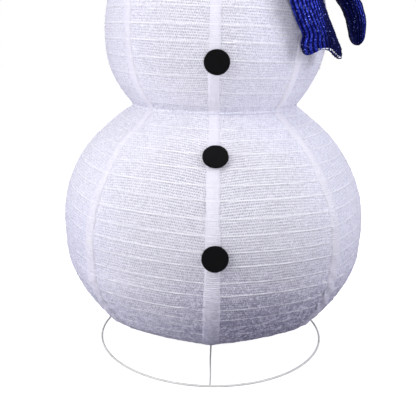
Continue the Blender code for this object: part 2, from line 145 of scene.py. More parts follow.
def tube_mesh(name, path, radius, mat, sides=8, cyclic=False, flat=None):
    """A round wire through the points. radius is a number or one for each point."""
    path = np.asarray(path, float)
    n = len(path)
    radius = np.broadcast_to(np.asarray(radius, float), (n,))
    if cyclic:
        along = np.roll(path, -1, 0) - np.roll(path, 1, 0)
    else:
        along = np.gradient(path, axis=0)
    along /= np.linalg.norm(along, axis=1)[:, None]
    ref = np.array([0.0, 0.0, 1.0])
    side = np.cross(along, ref)
    weak = np.linalg.norm(side, axis=1) < 1e-3
    side[weak] = np.cross(along[weak], [1.0, 0, 0])
    side /= np.linalg.norm(side, axis=1)[:, None]
    up = np.cross(side, along)
    ang = np.linspace(0, 2 * np.pi, sides, endpoint=False)
    pts = path[:, None] + radius[:, None, None] * (
        np.cos(ang)[None, :, None] * side[:, None] + np.sin(ang)[None, :, None] * up[:, None]
    )
    pts = pts.reshape(-1, 3)
    faces = [tuple(f) for f in grid_faces(n, sides, wrap=True)]
    if cyclic:
        last = (n - 1) * sides
        faces += [(last + i, last + (i + 1) % sides, (i + 1) % sides, i) for i in range(sides)]
    else:
        faces.append(tuple(range(sides))[::-1])
        faces.append(tuple((n - 1) * sides + i for i in range(sides)))
    return polymesh(name, pts, faces, mat)


def join(name, objs):
    """One object from several that share a material."""
    base = objs[0]
    bm = bmesh.new()
    for obj in objs:
        start = len(bm.verts)
        bm.from_mesh(obj.data)
        bm.verts.ensure_lookup_table()
        for v in bm.verts[start:]:
            v.co = obj.matrix_world @ v.co
    mesh = bpy.data.meshes.new(name)
    bm.to_mesh(mesh)
    bm.free()
    mesh.materials.append(base.data.materials[0])
    for obj in objs:
        bpy.data.objects.remove(obj, do_unlink=True)
    out = bpy.data.objects.new(name, mesh)
    home.objects.link(out)
    return out


# ------------------------------------------------------------ material helpers
class Shade:
    """A material's node tree with short ways to add maths and textures."""

    def __init__(self, name):
        self.mat = bpy.data.materials.new(name)
        self.mat.use_nodes = True
        self.nt = self.mat.node_tree
        self.bsdf = self.nt.nodes["Principled BSDF"]
        self.out = self.nt.nodes["Material Output"]

    def put(self, socket, value):
        if isinstance(value, bpy.types.NodeSocket):
            self.nt.links.new(value, socket)
        elif isinstance(value, (tuple, list)) and len(value) == 3 and socket.type == "RGBA":
            socket.default_value = (*value, 1.0)
        else:
            socket.default_value = value

    def node(self, kind, props=None, **inputs):
        made = self.nt.nodes.new(kind)
        for key, value in (props or {}).items():
            setattr(made, key, value)
        for key, value in inputs.items():
            self.put(made.inputs[key.replace("_", " ")], value)
        return made

    def math(self, op, a, b=None, c=None, clamp=False):
        made = self.nt.nodes.new("ShaderNodeMath")
        made.operation = op
        made.use_clamp = clamp
        for socket, value in zip(made.inputs, (a, b, c)):
            if value is not None:
                self.put(socket, value)
        return made.outputs[0]

    def step(self, value, low, high, to_low=0.0, to_high=1.0):
        made = self.nt.nodes.new("ShaderNodeMapRange")
        made.interpolation_type = "SMOOTHSTEP"
        for key, val in zip(("Value", "From Min", "From Max", "To Min", "To Max"), (value, low, high, to_low, to_high)):
            self.put(made.inputs[key], val)
        return made.outputs[0]

    def mix(self, factor, a, b, kind="MIX"):
        made = self.nt.nodes.new("ShaderNodeMix")
        made.data_type = "RGBA"
        made.blend_type = kind
        self.put(made.inputs[0], factor)
        self.put(made.inputs[6], a)
        self.put(made.inputs[7], b)
        return made.outputs[2]

    def noise(self, scale, detail=2.0, rough=0.5, vector=None):
        made = self.nt.nodes.new("ShaderNodeTexNoise")
        made.inputs["Scale"].default_value = scale
        made.inputs["Detail"].default_value = detail
        made.inputs["Roughness"].default_value = rough
        self.nt.links.new(vector if vector is not None else self.coords(), made.inputs["Vector"])
        return made.outputs["Fac"]

    def coords(self):
        if not hasattr(self, "_coords"):
            self._coords = self.nt.nodes.new("ShaderNodeTexCoord").outputs["Object"]
        return self._coords

    def weave(self):
        made = self.nt.nodes.new("ShaderNodeAttribute")
        made.attribute_name = "weave"
        split = self.nt.nodes.new("ShaderNodeSeparateXYZ")
        self.nt.links.new(made.outputs["Vector"], split.inputs[0])
        return split.outputs

    def wave(self, value, period):
        """0 to 1 and back over each period."""
        turn = self.math("MULTIPLY", value, 2 * math.pi / period)
        return self.math("MULTIPLY_ADD", self.math("COSINE", turn), 0.5, 0.5)

    def bump(self, height, distance, strength=1.0, normal=None):
        made = self.nt.nodes.new("ShaderNodeBump")
        made.inputs["Strength"].default_value = strength
        made.inputs["Distance"].default_value = distance
        self.put(made.inputs["Height"], height)
        if normal is not None:
            self.put(made.inputs["Normal"], normal)
        return made.outputs[0]

    def set(self, **inputs):
        for key, value in inputs.items():
            self.put(self.bsdf.inputs[key.replace("_", " ")], value)
        return self.mat


# ------------------------------------------------------------------- materials
def mesh_cloth():
    """White open mesh with tinsel in its yarn: staggered holes in rows, glints, and bright lines over the wires."""
    s = Shade("mesh_cloth")
    u, v, p = s.weave()[:3]
    attr = s.nt.nodes.new("ShaderNodeAttribute")
    attr.attribute_name = "openness"
    opened = attr.outputs["Fac"]
    soft = s.noise(38.0, 2.0)
    v2 = s.math("MULTIPLY_ADD", s.math("SUBTRACT", soft, 0.5), 0.0022, v)
    v2 = s.math("MULTIPLY_ADD", s.math("SUBTRACT", s.noise(190.0, 1.0), 0.5), 0.0007, v2)
    row_gap = s.math("SUBTRACT", 1.0, s.wave(v2, 0.0047))
    which = s.math("FLOOR", s.math("ADD", s.math("DIVIDE", v2, 0.0047), 0.0))
    shift = s.math("MULTIPLY", s.math("MODULO", which, 2.0), 0.00205)
    jitter = s.math("MULTIPLY", s.math("SUBTRACT", s.noise(170.0, 1.0), 0.5), 0.0010)
    u2 = s.math("ADD", s.math("ADD", u, shift), jitter)
    cell = s.math("SUBTRACT", 1.0, s.wave(u2, 0.0041))
    hole = s.step(s.math("MULTIPLY", row_gap, cell), 0.10, 0.66)
    gap_line = s.step(row_gap, 0.25, 1.0)
    empty = s.math("ADD", s.math("MULTIPLY", hole, 0.68), s.math("MULTIPLY", gap_line, 0.27))
    patchy = s.noise(16.0, 3.0)
    empty = s.math("MULTIPLY", s.math("MULTIPLY", empty, opened), s.step(patchy, 0.25, 0.65, 0.72, 1.05))
    empty = s.math("MULTIPLY", empty, s.step(s.node("ShaderNodeSeparateXYZ", None, Vector=s.coords()).outputs["Z"], 0.24, 0.36, 0.80, 1.0))
    thread = s.math("SUBTRACT", 1.0, empty)
    # the wire's casing, with a painted shadow band just below each wire
    near = s.math("ABSOLUTE", s.math("SUBTRACT", s.math("FRACT", s.math("ADD", p, 0.5)), 0.5))
    line = s.step(near, 0.056, 0.030)
    line = s.math("MULTIPLY", line, s.step(patchy, 0.28, 0.56, 0.45, 1.0))
    line = s.math("MULTIPLY", line, s.math("MULTIPLY_ADD", opened, 0.65, 0.35))
    below = s.math("FRACT", s.math("MULTIPLY", p, -1.0))
    under = s.math("MULTIPLY", s.step(below, 0.040, 0.065), s.step(below, 0.17, 0.10))
    hair = s.step(s.noise(430.0, 3.0, 0.7), 0.60, 0.72)
    cloudy = s.noise(7.0, 3.0)
    # the grey seen in the holes is painted shade: the shaded inside of the ball
    gap = s.mix(cloudy, (0.440, 0.436, 0.470), (0.520, 0.514, 0.562))
    yarns = s.mix(cloudy, (0.770, 0.756, 0.786), (0.826, 0.811, 0.848))
    sides = s.mix(cloudy, (0.780, 0.776, 0.852), (0.826, 0.820, 0.905))
    place = s.node("ShaderNodeSeparateXYZ", None, Vector=s.coords()).outputs
    height = place["Z"]
    plain = s.mix(cloudy, (0.780, 0.774, 0.826), (0.826, 0.818, 0.878))
    sides = s.mix(s.math("MULTIPLY", s.step(place["X"], 0.02, -0.08), s.step(height, 0.27, 0.36)), sides, plain)
    yarns = s.mix(s.step(opened, 0.75, 0.35), yarns, sides)
    tone = s.mix(thread, gap, yarns)
    # the cloth lies closer where the chest draws in, and painted light lifts the shade in the waist's groove
    dense_and_lit = s.math("MULTIPLY", s.step(height, 0.48, 0.51), s.step(height, 0.58, 0.53))
    dense_and_lit = s.math("MULTIPLY", dense_and_lit, s.step(place["X"], 0.14, 0.06))
    tone = s.mix(s.math("MULTIPLY", dense_and_lit, 0.26), tone, (0.95, 0.94, 0.98))
    # painted shade: the cloth is made darker and bluer close to the ground, much less so on the left
    level = s.math("MULTIPLY_ADD", s.math("SUBTRACT", patchy, 0.5), 0.055, height)
    level = s.math("SUBTRACT", level, s.step(place["X"], -0.14, 0.0, 0.0, 0.026))
    level = s.math("ADD", level, s.step(place["X"], 0.06, 0.14, 0.0, 0.014))
    painted_low_shade = s.step(level, 0.252, 0.075)
    painted_low_shade = s.math("MULTIPLY", painted_low_shade, s.step(place["X"], -0.20, 0.04, 0.08, 1.0))
    painted_low_shade = s.math("MINIMUM", painted_low_shade, s.step(place["X"], -0.12, 0.10, 0.09, 1.0))
    painted_low_shade = s.math("MULTIPLY", painted_low_shade, s.step(place["X"], 0.17, 0.27, 1.0, 0.70))
    tone = s.mix(s.math("MULTIPLY", painted_low_shade, s.step(height, 0.125, 0.185, 0.70, 0.82)), tone, (0.305, 0.283, 0.425))
    # painted shade on the lower left flank, where the body turns away from the light
    turned = s.math("MULTIPLY", s.step(place["X"], -0.15, -0.24), s.step(height, 0.37, 0.25))
    tone = s.mix(s.math("MULTIPLY", turned, 0.15), tone, (0.32, 0.31, 0.44))
    # tinsel: each fleck is a little lighter, darker or bluer than the next
    fleck = s.node("ShaderNodeTexVoronoi", {"feature": "F1"}, Vector=s.coords(), Scale=560.0)
    rand = s.node("ShaderNodeTexWhiteNoise", {"noise_dimensions": "3D"}, Vector=fleck.outputs["Position"]).outputs["Value"]
    tone = s.mix(s.step(rand, 0.62, 1.0, 0.0, 0.60), tone, (0.93, 0.925, 0.985))
    # the darker flecks grow with the painted low shade
    darker = s.math("MULTIPLY", s.step(rand, 0.42, 0.05), s.math("MULTIPLY_ADD", painted_low_shade, 0.60, 0.26))
    tone = s.mix(darker, tone, (0.26, 0.25, 0.36))
    # mottled where fibre ends lie over each other; near the ground and under the painted low shade the dark and light
    # specks grow, as painted shade and light
    mottle = s.noise(135.0, 3.0, 0.7)
    closed = s.math("MULTIPLY", s.math("SUBTRACT", 1.0, opened), 0.035)
    painted_low_speckle = s.step(height, 0.20, 0.06)
    tone = s.mix(s.math("MULTIPLY", s.step(mottle, 0.50, 0.42), s.math("ADD", s.math("MULTIPLY_ADD", painted_low_shade, 0.40, 0.05), s.math("MULTIPLY_ADD", painted_low_speckle, 0.32, closed))), tone, (0.20, 0.19, 0.29))
    tone = s.mix(s.math("MULTIPLY", s.step(mottle, 0.54, 0.62), s.math("ADD", s.math("MULTIPLY_ADD", painted_low_shade, 0.40, 0.08), s.math("MULTIPLY_ADD", painted_low_speckle, 0.44, closed))), tone, (0.93, 0.92, 0.99))
    coarse = s.noise(300.0, 2.0, 0.6)
    tone = s.mix(s.math("MULTIPLY", s.step(coarse, 0.52, 0.36), s.math("ADD", s.math("MULTIPLY_ADD", painted_low_shade, 0.55, 0.08), s.math("MULTIPLY", closed, 3.2))), tone, (0.24, 0.23, 0.34))
    tone = s.mix(s.math("MULTIPLY", s.step(coarse, 0.58, 0.70), s.math("ADD", s.math("MULTIPLY_ADD", painted_low_shade, 0.44, 0.10), s.math("MULTIPLY", closed, 4.0))), tone, (0.90, 0.89, 0.97))
    # painted shadow just below each wire
    tone = s.mix(s.math("MULTIPLY", under, 0.12), tone, (0.42, 0.42, 0.48))
    tone = s.mix(s.math("MULTIPLY", line, 0.86), tone, (0.975, 0.97, 0.985))
    # slubs and knots
    slub = s.step(s.noise(85.0, 2.0), 0.70, 0.78)
    tone = s.mix(s.math("MULTIPLY", slub, 0.50), tone, (0.97, 0.965, 0.99))
    tone = s.mix(s.math("MULTIPLY", hair, 0.30), tone, (0.97, 0.96, 1.0))
    solid = s.math("SUBTRACT", 1.0, s.math("MULTIPLY", empty, 0.22))
    lift = s.math("ADD", s.math("MULTIPLY", thread, 0.6), s.math("MULTIPLY", hair, 0.5))
    lift = s.math("ADD", lift, s.math("MULTIPLY", line, 0.9))
    lift = s.math("ADD", lift, s.math("MULTIPLY", rand, 0.75))
    return s.set(
        Base_Color=tone,
        Roughness=s.step(rand, 0.55, 0.95, 0.78, 0.34),
        Alpha=solid,
        Normal=s.bump(lift, 0.0008, 0.75),
        Sheen_Weight=0.02,
        Sheen_Roughness=0.45,
        Sheen_Tint=(0.80, 0.80, 1.0),
        Specular_IOR_Level=0.20,
    )


def tape_cloth():
    s = Shade("tape_cloth")
    u, v, p = s.weave()[:3]
    rib = s.wave(u, 0.0021)
    pick = s.wave(s.math("ADD", v, s.math("MULTIPLY", s.math("SUBTRACT", s.noise(90.0, 2.0), 0.5), 0.0016)), 0.0036)
    height = s.math("ADD", s.math("MULTIPLY", rib, 0.4), pick)
    near = s.math("ABSOLUTE", s.math("SUBTRACT", s.math("FRACT", s.math("ADD", p, 0.5)), 0.5))
    over = s.step(near, 0.080, 0.025)
    under = s.math("MULTIPLY", s.step(near, 0.05, 0.08), s.step(near, 0.17, 0.11))
    cloudy = s.noise(26.0, 3.0)
    tone = s.mix(cloudy, (0.785, 0.769, 0.816), (0.842, 0.825, 0.868))
    tone = s.mix(s.math("MULTIPLY", s.math("SUBTRACT", 1.0, pick), 0.16), tone, (0.70, 0.69, 0.78))
    fleck = s.node("ShaderNodeTexVoronoi", {"feature": "F1"}, Vector=s.coords(), Scale=560.0)
    rand = s.node("ShaderNodeTexWhiteNoise", {"noise_dimensions": "3D"}, Vector=fleck.outputs["Position"]).outputs["Value"]
    tone = s.mix(s.step(rand, 0.36, 0.0, 0.0, 0.22), tone, (0.55, 0.54, 0.66))
    # painted shadow just below each wire
    tone = s.mix(s.math("MULTIPLY", under, 0.12), tone, (0.62, 0.62, 0.68))
    tone = s.mix(s.math("MULTIPLY", over, 0.24), tone, (0.955, 0.95, 0.98))
    place = s.node("ShaderNodeSeparateXYZ", None, Vector=s.coords()).outputs
    # painted shade: the tape is made darker and bluer towards the ground, less so on the left
    painted_low_shade = s.step(place["Z"], 0.250, 0.065)
    painted_low_shade = s.math("MULTIPLY", painted_low_shade, s.step(place["X"], -0.22, 0.10, 0.35, 1.0))
    # lighter near the waist: the cloth lies closer there, and painted light lifts the shade in the waist's groove
    dense_and_lit = s.math("MULTIPLY", s.step(place["Z"], 0.48, 0.52), s.step(place["Z"], 0.60, 0.54))
    tone = s.mix(s.math("MULTIPLY", dense_and_lit, 0.35), tone, (0.96, 0.95, 0.985))
    tone = s.mix(s.math("MULTIPLY", painted_low_shade, 0.62), tone, (0.40, 0.382, 0.50))
    # painted shade: darker still close to the hem
    tone = s.mix(s.step(place["Z"], 0.105, 0.045, 0.0, 0.70), tone, (0.30, 0.282, 0.385))
    # the mottle grows with the painted low shade
    mottle = s.noise(135.0, 3.0, 0.7)
    tone = s.mix(s.math("MULTIPLY", s.step(mottle, 0.50, 0.42), s.math("MULTIPLY_ADD", painted_low_shade, 0.46, 0.03)), tone, (0.24, 0.23, 0.33))
    tone = s.mix(s.math("MULTIPLY", s.step(mottle, 0.54, 0.62), s.math("MULTIPLY_ADD", painted_low_shade, 0.34, 0.05)), tone, (0.93, 0.92, 0.99))
    # handling marks, faintly yellow
    stain = s.step(s.noise(13.0, 2.0), 0.66, 0.74, 0.0, 0.28)
    tone = s.mix(stain, tone, (0.90, 0.87, 0.78))
    hair = s.step(s.noise(430.0, 3.0, 0.7), 0.60, 0.72)
    tone = s.mix(s.math("MULTIPLY", hair, 0.35), tone, (0.98, 0.97, 1.0))
    return s.set(
        Base_Color=tone,
        Roughness=s.step(rand, 0.55, 0.95, 0.80, 0.45),
        Normal=s.bump(s.math("ADD", height, s.math("ADD", hair, rand)), 0.0006, 0.7),
        Sheen_Weight=0.30,
        Sheen_Roughness=0.45,
        Sheen_Tint=(0.80, 0.80, 1.0),
        Specular_IOR_Level=0.35,
    )


def felt(name, dark, light, fuzz, bump=0.0006, sheen=0.25, spec=0.18):
    s = Shade(name)
    fine = s.noise(900.0, 4.0, 0.7)
    mid = s.noise(120.0, 3.0)
    fibre = s.step(fine, 0.50, 0.72)
    tone = s.mix(mid, dark, light)
    tone = s.mix(s.math("MULTIPLY", fibre, 0.5), tone, fuzz)
    height = s.math("ADD", s.math("MULTIPLY", fine, 0.7), s.math("MULTIPLY", mid, 0.5))
    return s.set(
        Base_Color=tone,
        Roughness=s.step(mid, 0.3, 0.7, 0.86, 0.98),
        Normal=s.bump(height, bump, 0.9),
        Sheen_Weight=sheen,
        Sheen_Roughness=0.6,
        Specular_IOR_Level=spec,
    )


def blue_knit():
    """Ribbed knit with a metallic thread. weave is (across, along, rib height)."""
    s = Shade("blue_knit")
    u, v, h = s.weave()[:3]
    stitch = s.wave(s.math("ADD", v, s.math("MULTIPLY", s.math("ABSOLUTE", h), 0.0016)), 0.0042)
    loop = s.step(stitch, 0.15, 0.9)
    crest = s.step(h, -0.6, 0.75)
    rand = s.noise(260.0, 3.0, 0.65)
    cloudy = s.noise(22.0, 2.0)
    # darker in the grooves between the ribs: painted shade in the recesses
    tone = s.mix(crest, (0.0008, 0.0013, 0.036), (0.0048, 0.0076, 0.165))
    tone = s.mix(s.math("MULTIPLY", loop, s.math("MULTIPLY", crest, 0.50)), tone, (0.018, 0.030, 0.42))
    tone = s.mix(s.math("MULTIPLY", s.step(cloudy, 0.40, 0.72), 0.55), tone, (0.0018, 0.0030, 0.050))
    glint = s.node("ShaderNodeTexVoronoi", {"feature": "F1"}, Vector=s.coords(), Scale=430.0)
    pick = s.node("ShaderNodeTexWhiteNoise", {"noise_dimensions": "3D"}, Vector=glint.outputs["Position"]).outputs["Value"]
    spark = s.math("MULTIPLY", s.step(glint.outputs["Distance"], 0.42, 0.20), s.step(pick, 0.86, 0.90))
    shine = s.math("MULTIPLY", crest, s.step(pick, 0.30, 0.80))
    tone = s.mix(s.math("MULTIPLY", shine, 0.66), tone, (0.075, 0.115, 0.86))
    # painted shade on the scarf tails, from a per-point attribute that only the tails carry
    tail_shade = s.nt.nodes.new("ShaderNodeAttribute")
    tail_shade.attribute_name = "tail_shade"
    tail_shade = tail_shade.outputs["Fac"]
    tone = s.mix(s.math("MULTIPLY", tail_shade, 0.88), tone, (0.0011, 0.0013, 0.019))
    tone = s.mix(s.math("MULTIPLY", spark, 0.80), tone, (0.30, 0.36, 0.85))
    height = s.math("ADD", s.math("MULTIPLY", loop, 0.8), s.math("MULTIPLY", rand, 0.9))
    return s.set(
        Base_Color=tone,
        Roughness=s.step(s.math("ADD", spark, s.math("MULTIPLY", shine, 0.5)), 0.0, 1.0, 0.52, 0.20),
        Metallic=s.math("ADD", s.math("MULTIPLY", shine, 0.80), s.math("MULTIPLY", spark, 0.4), clamp=True),
        Normal=s.bump(height, 0.0010, 0.9),
        Sheen_Weight=0.02,
        Sheen_Roughness=0.35,
        Sheen_Tint=(0.30, 0.36, 1.0),
        Specular_IOR_Level=0.10,
        Specular_Tint=(0.25, 0.30, 1.0),
    )


def painted(name, tone, worn, rough=0.32, grain=0.0002):
    """Powder coat with orange peel, thin spots and a little dust."""
    s = Shade(name)
    peel = s.noise(650.0, 2.0)
    patch = s.noise(45.0, 4.0, 0.6)
    base = s.mix(s.step(patch, 0.45, 0.75), tone, worn)
    return s.set(
        Base_Color=base,
        Roughness=s.step(patch, 0.35, 0.7, rough, rough + 0.18),
        Normal=s.bump(peel, grain, 0.5),
        Specular_IOR_Level=0.5,
        Coat_Weight=0.15,
        Coat_Roughness=0.2,
    )


def plastic(name, tone, other, rough=0.42):
    s = Shade(name)
    grain = s.noise(1400.0, 2.0)
    patch = s.noise(30.0, 3.0)
    return s.set(
        Base_Color=s.mix(patch, tone, other),
        Roughness=s.step(patch, 0.3, 0.7, rough, rough + 0.12),
        Normal=s.bump(grain, 0.00008, 0.5),
    )


def lamp_glass():
    s = Shade("lamp_clear")
    patch = s.noise(300.0, 2.0)
    return s.set(
        Base_Color=s.mix(patch, (0.92, 0.93, 0.90), (0.99, 0.99, 0.97)),
        Roughness=s.step(patch, 0.3, 0.7, 0.08, 0.22),
        Specular_IOR_Level=0.6,
    )


def sparkle_thread():
    s = Shade("silver_thread")
    rand = s.noise(900.0, 2.0)
    return s.set(
        Base_Color=s.mix(rand, (0.80, 0.82, 0.90), (1.0, 1.0, 1.0)),
        Roughness=s.step(rand, 0.3, 0.7, 0.18, 0.42),
        Metallic=0.35,
        Normal=s.bump(rand, 0.0004, 0.7),
    )


def fibre_ends():
    """Ends of the tinsel yarn: some white, some grey-violet; the darker ones partly darken the outline as painted
    shade.
    """
    s = Shade("tinsel_fibre")
    rand = s.noise(60.0, 2.0)
    height = s.node("ShaderNodeSeparateXYZ", None, Vector=s.coords()).outputs["Z"]
    tone = s.mix(s.step(rand, 0.44, 0.66), (0.20, 0.195, 0.265), (0.78, 0.78, 0.87))
    grey = s.mix(s.step(rand, 0.50, 0.70), (0.075, 0.070, 0.110), (0.55, 0.54, 0.65))
    return s.set(
        # painted shade: the fibres turn greyer towards the ground
        Base_Color=s.mix(s.step(height, 0.30, 0.17), tone, grey),
        Roughness=s.step(rand, 0.3, 0.7, 0.35, 0.6),
        Specular_IOR_Level=0.5,
    )


CLOTH = mesh_cloth()
FIBRE = fibre_ends()
TAPE = tape_cloth()
BLACK = felt("black_felt", (0.0013, 0.0013, 0.0014), (0.0028, 0.0028, 0.0030), (0.0070, 0.0070, 0.0075), sheen=0.04, spec=0.07)
ORANGE = felt("orange_felt", (0.62, 0.155, 0.018), (0.74, 0.215, 0.030), (0.86, 0.34, 0.08), 0.0008)
BLUE = blue_knit()
WIRE = painted("white_coated_wire", (0.765, 0.757, 0.705), (0.62, 0.614, 0.570))
SPRING = painted("white_spring_wire", (0.78, 0.78, 0.80), (0.62, 0.62, 0.65))
TUBE = painted("white_tube_paint", (0.74, 0.74, 0.76), (0.62, 0.62, 0.64))
WHITE_PLASTIC = plastic("white_plastic", (0.72, 0.72, 0.74), (0.64, 0.64, 0.66))
GREY_PLASTIC = plastic("grey_plastic", (0.070, 0.070, 0.074), (0.095, 0.095, 0.10))
LAMP = lamp_glass()
SILVER = sparkle_thread()


# ---------------------------------------------------------------- the outline
def ball_radius(ball, z):
    z = np.asarray(z, float)
    dz = z - ball["zc"]
    half = np.where(dz >= 0, ball["up"], ball["down"])
    power = np.where(dz >= 0, ball["pu"], ball["pd"])
    return ball["r"] * np.sqrt(np.maximum(0.0, 1.0 - (np.abs(dz) / half) ** power))


FULL = {
    "lower": (
        (0.029, 1.000), (0.05, 1.012), (0.07, 1.022), (0.10, 1.028), (0.12, 1.022), (0.15, 1.021), (0.19, 1.022), (0.22, 1.014), (0.26, 1.018),
        (0.32, 1.015), (0.36, 1.007), (0.40, 1.001), (0.423, 0.997), (0.442, 0.986), (0.46, 0.972), (0.475, 0.975), (0.4834, 0.982),
    ),
    "chest": ((0.4834, 0.985), (0.50, 0.996), (0.55, 0.999), (0.60, 0.992), (0.65, 0.987), (0.70, 0.992), (0.814, 1.0)),
    "head": ((0.8, 1.0), (1.05, 1.0)),
}


def sway(z):
    """The stacked balls don't sit quite true on the pole."""
    return np.interp(z, [0.03, 0.25, 0.42, 0.4834, 0.53, 0.62, 0.814], [0.0, 0.0016, 0.0000, 0.0006, -0.0017, 0.0, 0.0])


def fullness(ball, z):
    key = "lower" if ball is LOWER else "chest" if ball is CHEST else "head"
    zs, ks = zip(*FULL[key])
    return np.interp(z, zs, ks)


class Outline:
    """A ball's outline by distance along the cloth, from its lower edge."""

    def __init__(self, ball, low, high, turns, seed):
        t = np.linspace(0, 1, 4001)
        z = low + (high - low) * (0.5 - 0.5 * np.cos(np.pi * t))
        r = ball_radius(ball, z)
        s = np.concatenate([[0], np.cumsum(np.hypot(np.diff(r), np.diff(z)))])
        self.s, self.r, self.z, self.length = s, r, z, s[-1]
        self.dr, self.dz = np.gradient(r, s), np.gradient(z, s)
        # the wire's turn number by distance; it counts whole numbers at the front
        at = np.interp(turns, z, s)
        n = np.arange(len(turns), dtype=float)
        step = (at[-1] - at[0]) / (n[-1] - n[0])
        before = np.arange(-30, 0)
        after = np.arange(1, 31)
        self.turn_s = np.concatenate([at[0] + before * step, at, at[-1] + after * step])
        self.turn_n = np.concatenate([n[0] + before, n, n[-1] + after])
        self.rough = waves(seed, 10, 60, 260)
        self.slow = waves(seed + 1, 6, 6, 22)
        self.rows = waves(seed + 2, 12, 700, 1500)
        self.ball = ball

    def at(self, s):
        r, z = np.interp(s, self.s, self.r), np.interp(s, self.s, self.z)
        dr, dz = np.interp(s, self.s, self.dr), np.interp(s, self.s, self.dz)
        n = np.hypot(dr, dz)
        return r, z, dr / n, dz / n

    def s_of(self, z):
        return np.interp(z, self.z, self.s)

    def turn(self, theta, s):
        """The wire is where this is a whole number. It winds down towards +X."""
        return np.interp(s, self.turn_s, self.turn_n) + theta / (2 * np.pi)

    def point(self, theta, s, lift=0.0, ridge=1.0, rough=1.0):
        """The cloth's surface: a rounded octagon with a ridge over each turn of the wire."""
        r, z, dr, dz = self.at(s)
        off = (theta + GORE / 2) % GORE - GORE / 2  # from the nearest tape
        mid = GORE / 2 - np.abs(off)  # from the middle of the gore
        poly = math.cos(GORE / 2) / np.cos(mid)
        share = np.interp(z, [0.03, 0.10, 0.20, 1.0], [0.55, 0.42, 0.34, 0.34])
        r = r * fullness(self.ball, z)
        across = r * (share * poly + 1.0 - share)
        n = self.turn(theta, s)
        f = n - np.round(n)
        gap = f * 0.0265
        bump = 0.00050 * np.exp(-((gap / 0.0014) ** 2))
        d = lift + ridge * bump
        x, y = r * theta, s
        d = d + rough * 0.00030 * self.rough(x, y) + rough * 0.00042 * self.rows(0.12 * x, y)
        d = d + rough * 0.0008 * self.slow(x, y)
        # gathers where the cloth is drawn in at its two edges
        edge = np.minimum(s, self.length - s)
        gather = np.sin(theta * 8 * 11 + 2.0 * np.sin(theta * 5)) * np.clip(edge / 0.003, 0, 1)
        if self.ball is LOWER:
            d = d + rough * 0.0014 * np.exp(-s / 0.034) * np.sin(theta * 8 * 7 + 2.6 * np.sin(theta * 3 + s * 30)) * np.clip(s / 0.004, 0, 1)
        d = d + rough * 0.0010 * np.exp(-edge / 0.016) * gather
        if rough:
            d = d + self.creases(theta, s, z, r)
        # the crease at the waist is bridged a little
        from_waist = self.length - s if self.ball is LOWER else s
        if self.ball is not HEAD:
            bridge = 0.0014 + 0.0032 * np.cos(theta) ** 2
            across = across + bridge * np.clip(1 - from_waist / (0.006 + 1.6 * bridge), 0, 1) ** 2
        rr = across + dz * d
        zz = z - dr * d
        return np.stack([rr * np.sin(theta) + sway(zz), -rr * np.cos(theta), zz], -1), n, r, off

    def creases(self, theta, s, z, r):
        """Slack folds beside the tapes low on the body, and tension lines near the waist."""
        total = 0.0
        for angle, zc, half, depth, slope, seed in CREASES:
            if self.ball is not LOWER:
                continue
            off = (theta - math.radians(angle) + np.pi) % (2 * np.pi) - np.pi
            x, y = off * r, z - zc
            window = np.exp(-((x / 0.045) ** 2) - (y / half) ** 2)
            wave = np.sin((y * math.cos(slope) + x * math.sin(slope)) * 2 * np.pi / 0.019 + 1.4 * np.sin(x * 70 + seed))
            total = total + depth * window * wave
        return total


CREASES = (
    (43.0, 0.165, 0.050, 0.0020, 0.85, 1.0),
    (54.0, 0.150, 0.060, 0.0016, -0.70, 2.0),
    (33.0, 0.110, 0.045, 0.0012, 0.40, 7.0),
    (-48.0, 0.150, 0.070, 0.0008, -0.6, 3.0),
    (135.0, 0.180, 0.090, 0.0014, 0.6, 4.0),
    (-135.0, 0.160, 0.080, 0.0012, -0.7, 5.0),
    (90.0, 0.120, 0.060, 0.0010, 0.4, 6.0),
)

lower = Outline(LOWER, HEM_Z, WAIST_Z, [0.1336, 0.1522, 0.1738, 0.2010, 0.2231, 0.2514, 0.2751, 0.3018, 0.3276, 0.3553, 0.3775, 0.4021, 0.4238, 0.4428, 0.4587, 0.4752], 11)
chest = Outline(CHEST, WAIST_Z, NECK_Z, [0.4975, 0.5214, 0.5475, 0.5767, 0.6061, 0.6338, 0.6630], 23)
head = Outline(HEAD, NECK_Z, CROWN_Z, [0.8420, 0.8660, 0.8930, 0.9220, 0.9510, 0.9790, 1.0050], 37)


def weave_of(out, theta, s, n, r, off_centre, skew):
    """Cloth coordinates: across and along a gore cut from flat cloth, and the wire's turn."""
    _, _, dr, _ = out.at(s)
    u = off_centre * r
    straight = s - dr * u * u / (2 * np.maximum(r, 0.03)) + skew * u
    return np.stack([u, straight, n], -1)


SKEW = [0.015, -0.022, 0.030, 0.010, -0.030, 0.020, -0.012, 0.026]


def stretch(theta, z, out):
    """How far the mesh is pulled open: most over the front and the back, least at the sides and low down."""
    turn = np.abs((theta + np.pi) % (2 * np.pi) - np.pi)
    front = np.clip((math.radians(52) - turn) / math.radians(40), 0, 1)
    back = 0.75 * np.clip((turn - math.radians(128)) / math.radians(26), 0, 1)
    base = 0.26 + 0.74 * np.maximum(front, back)
    if out is LOWER_CLOTH:
        base = base * np.interp(z, [0.40, 0.44, 0.4834], [1.0, 0.66, 0.5])
    else:
        signed = (theta + np.pi) % (2 * np.pi) - np.pi
        base = base * np.interp(signed, [-0.1, 0.25], [0.90, 0.56]) * np.interp(z, [0.4834, 0.54, 0.58], [0.55, 0.85, 1.0])
    low = np.clip((z - 0.10) / 0.07, 0.35, 1)
    return base * low


LOWER_CLOTH = lower


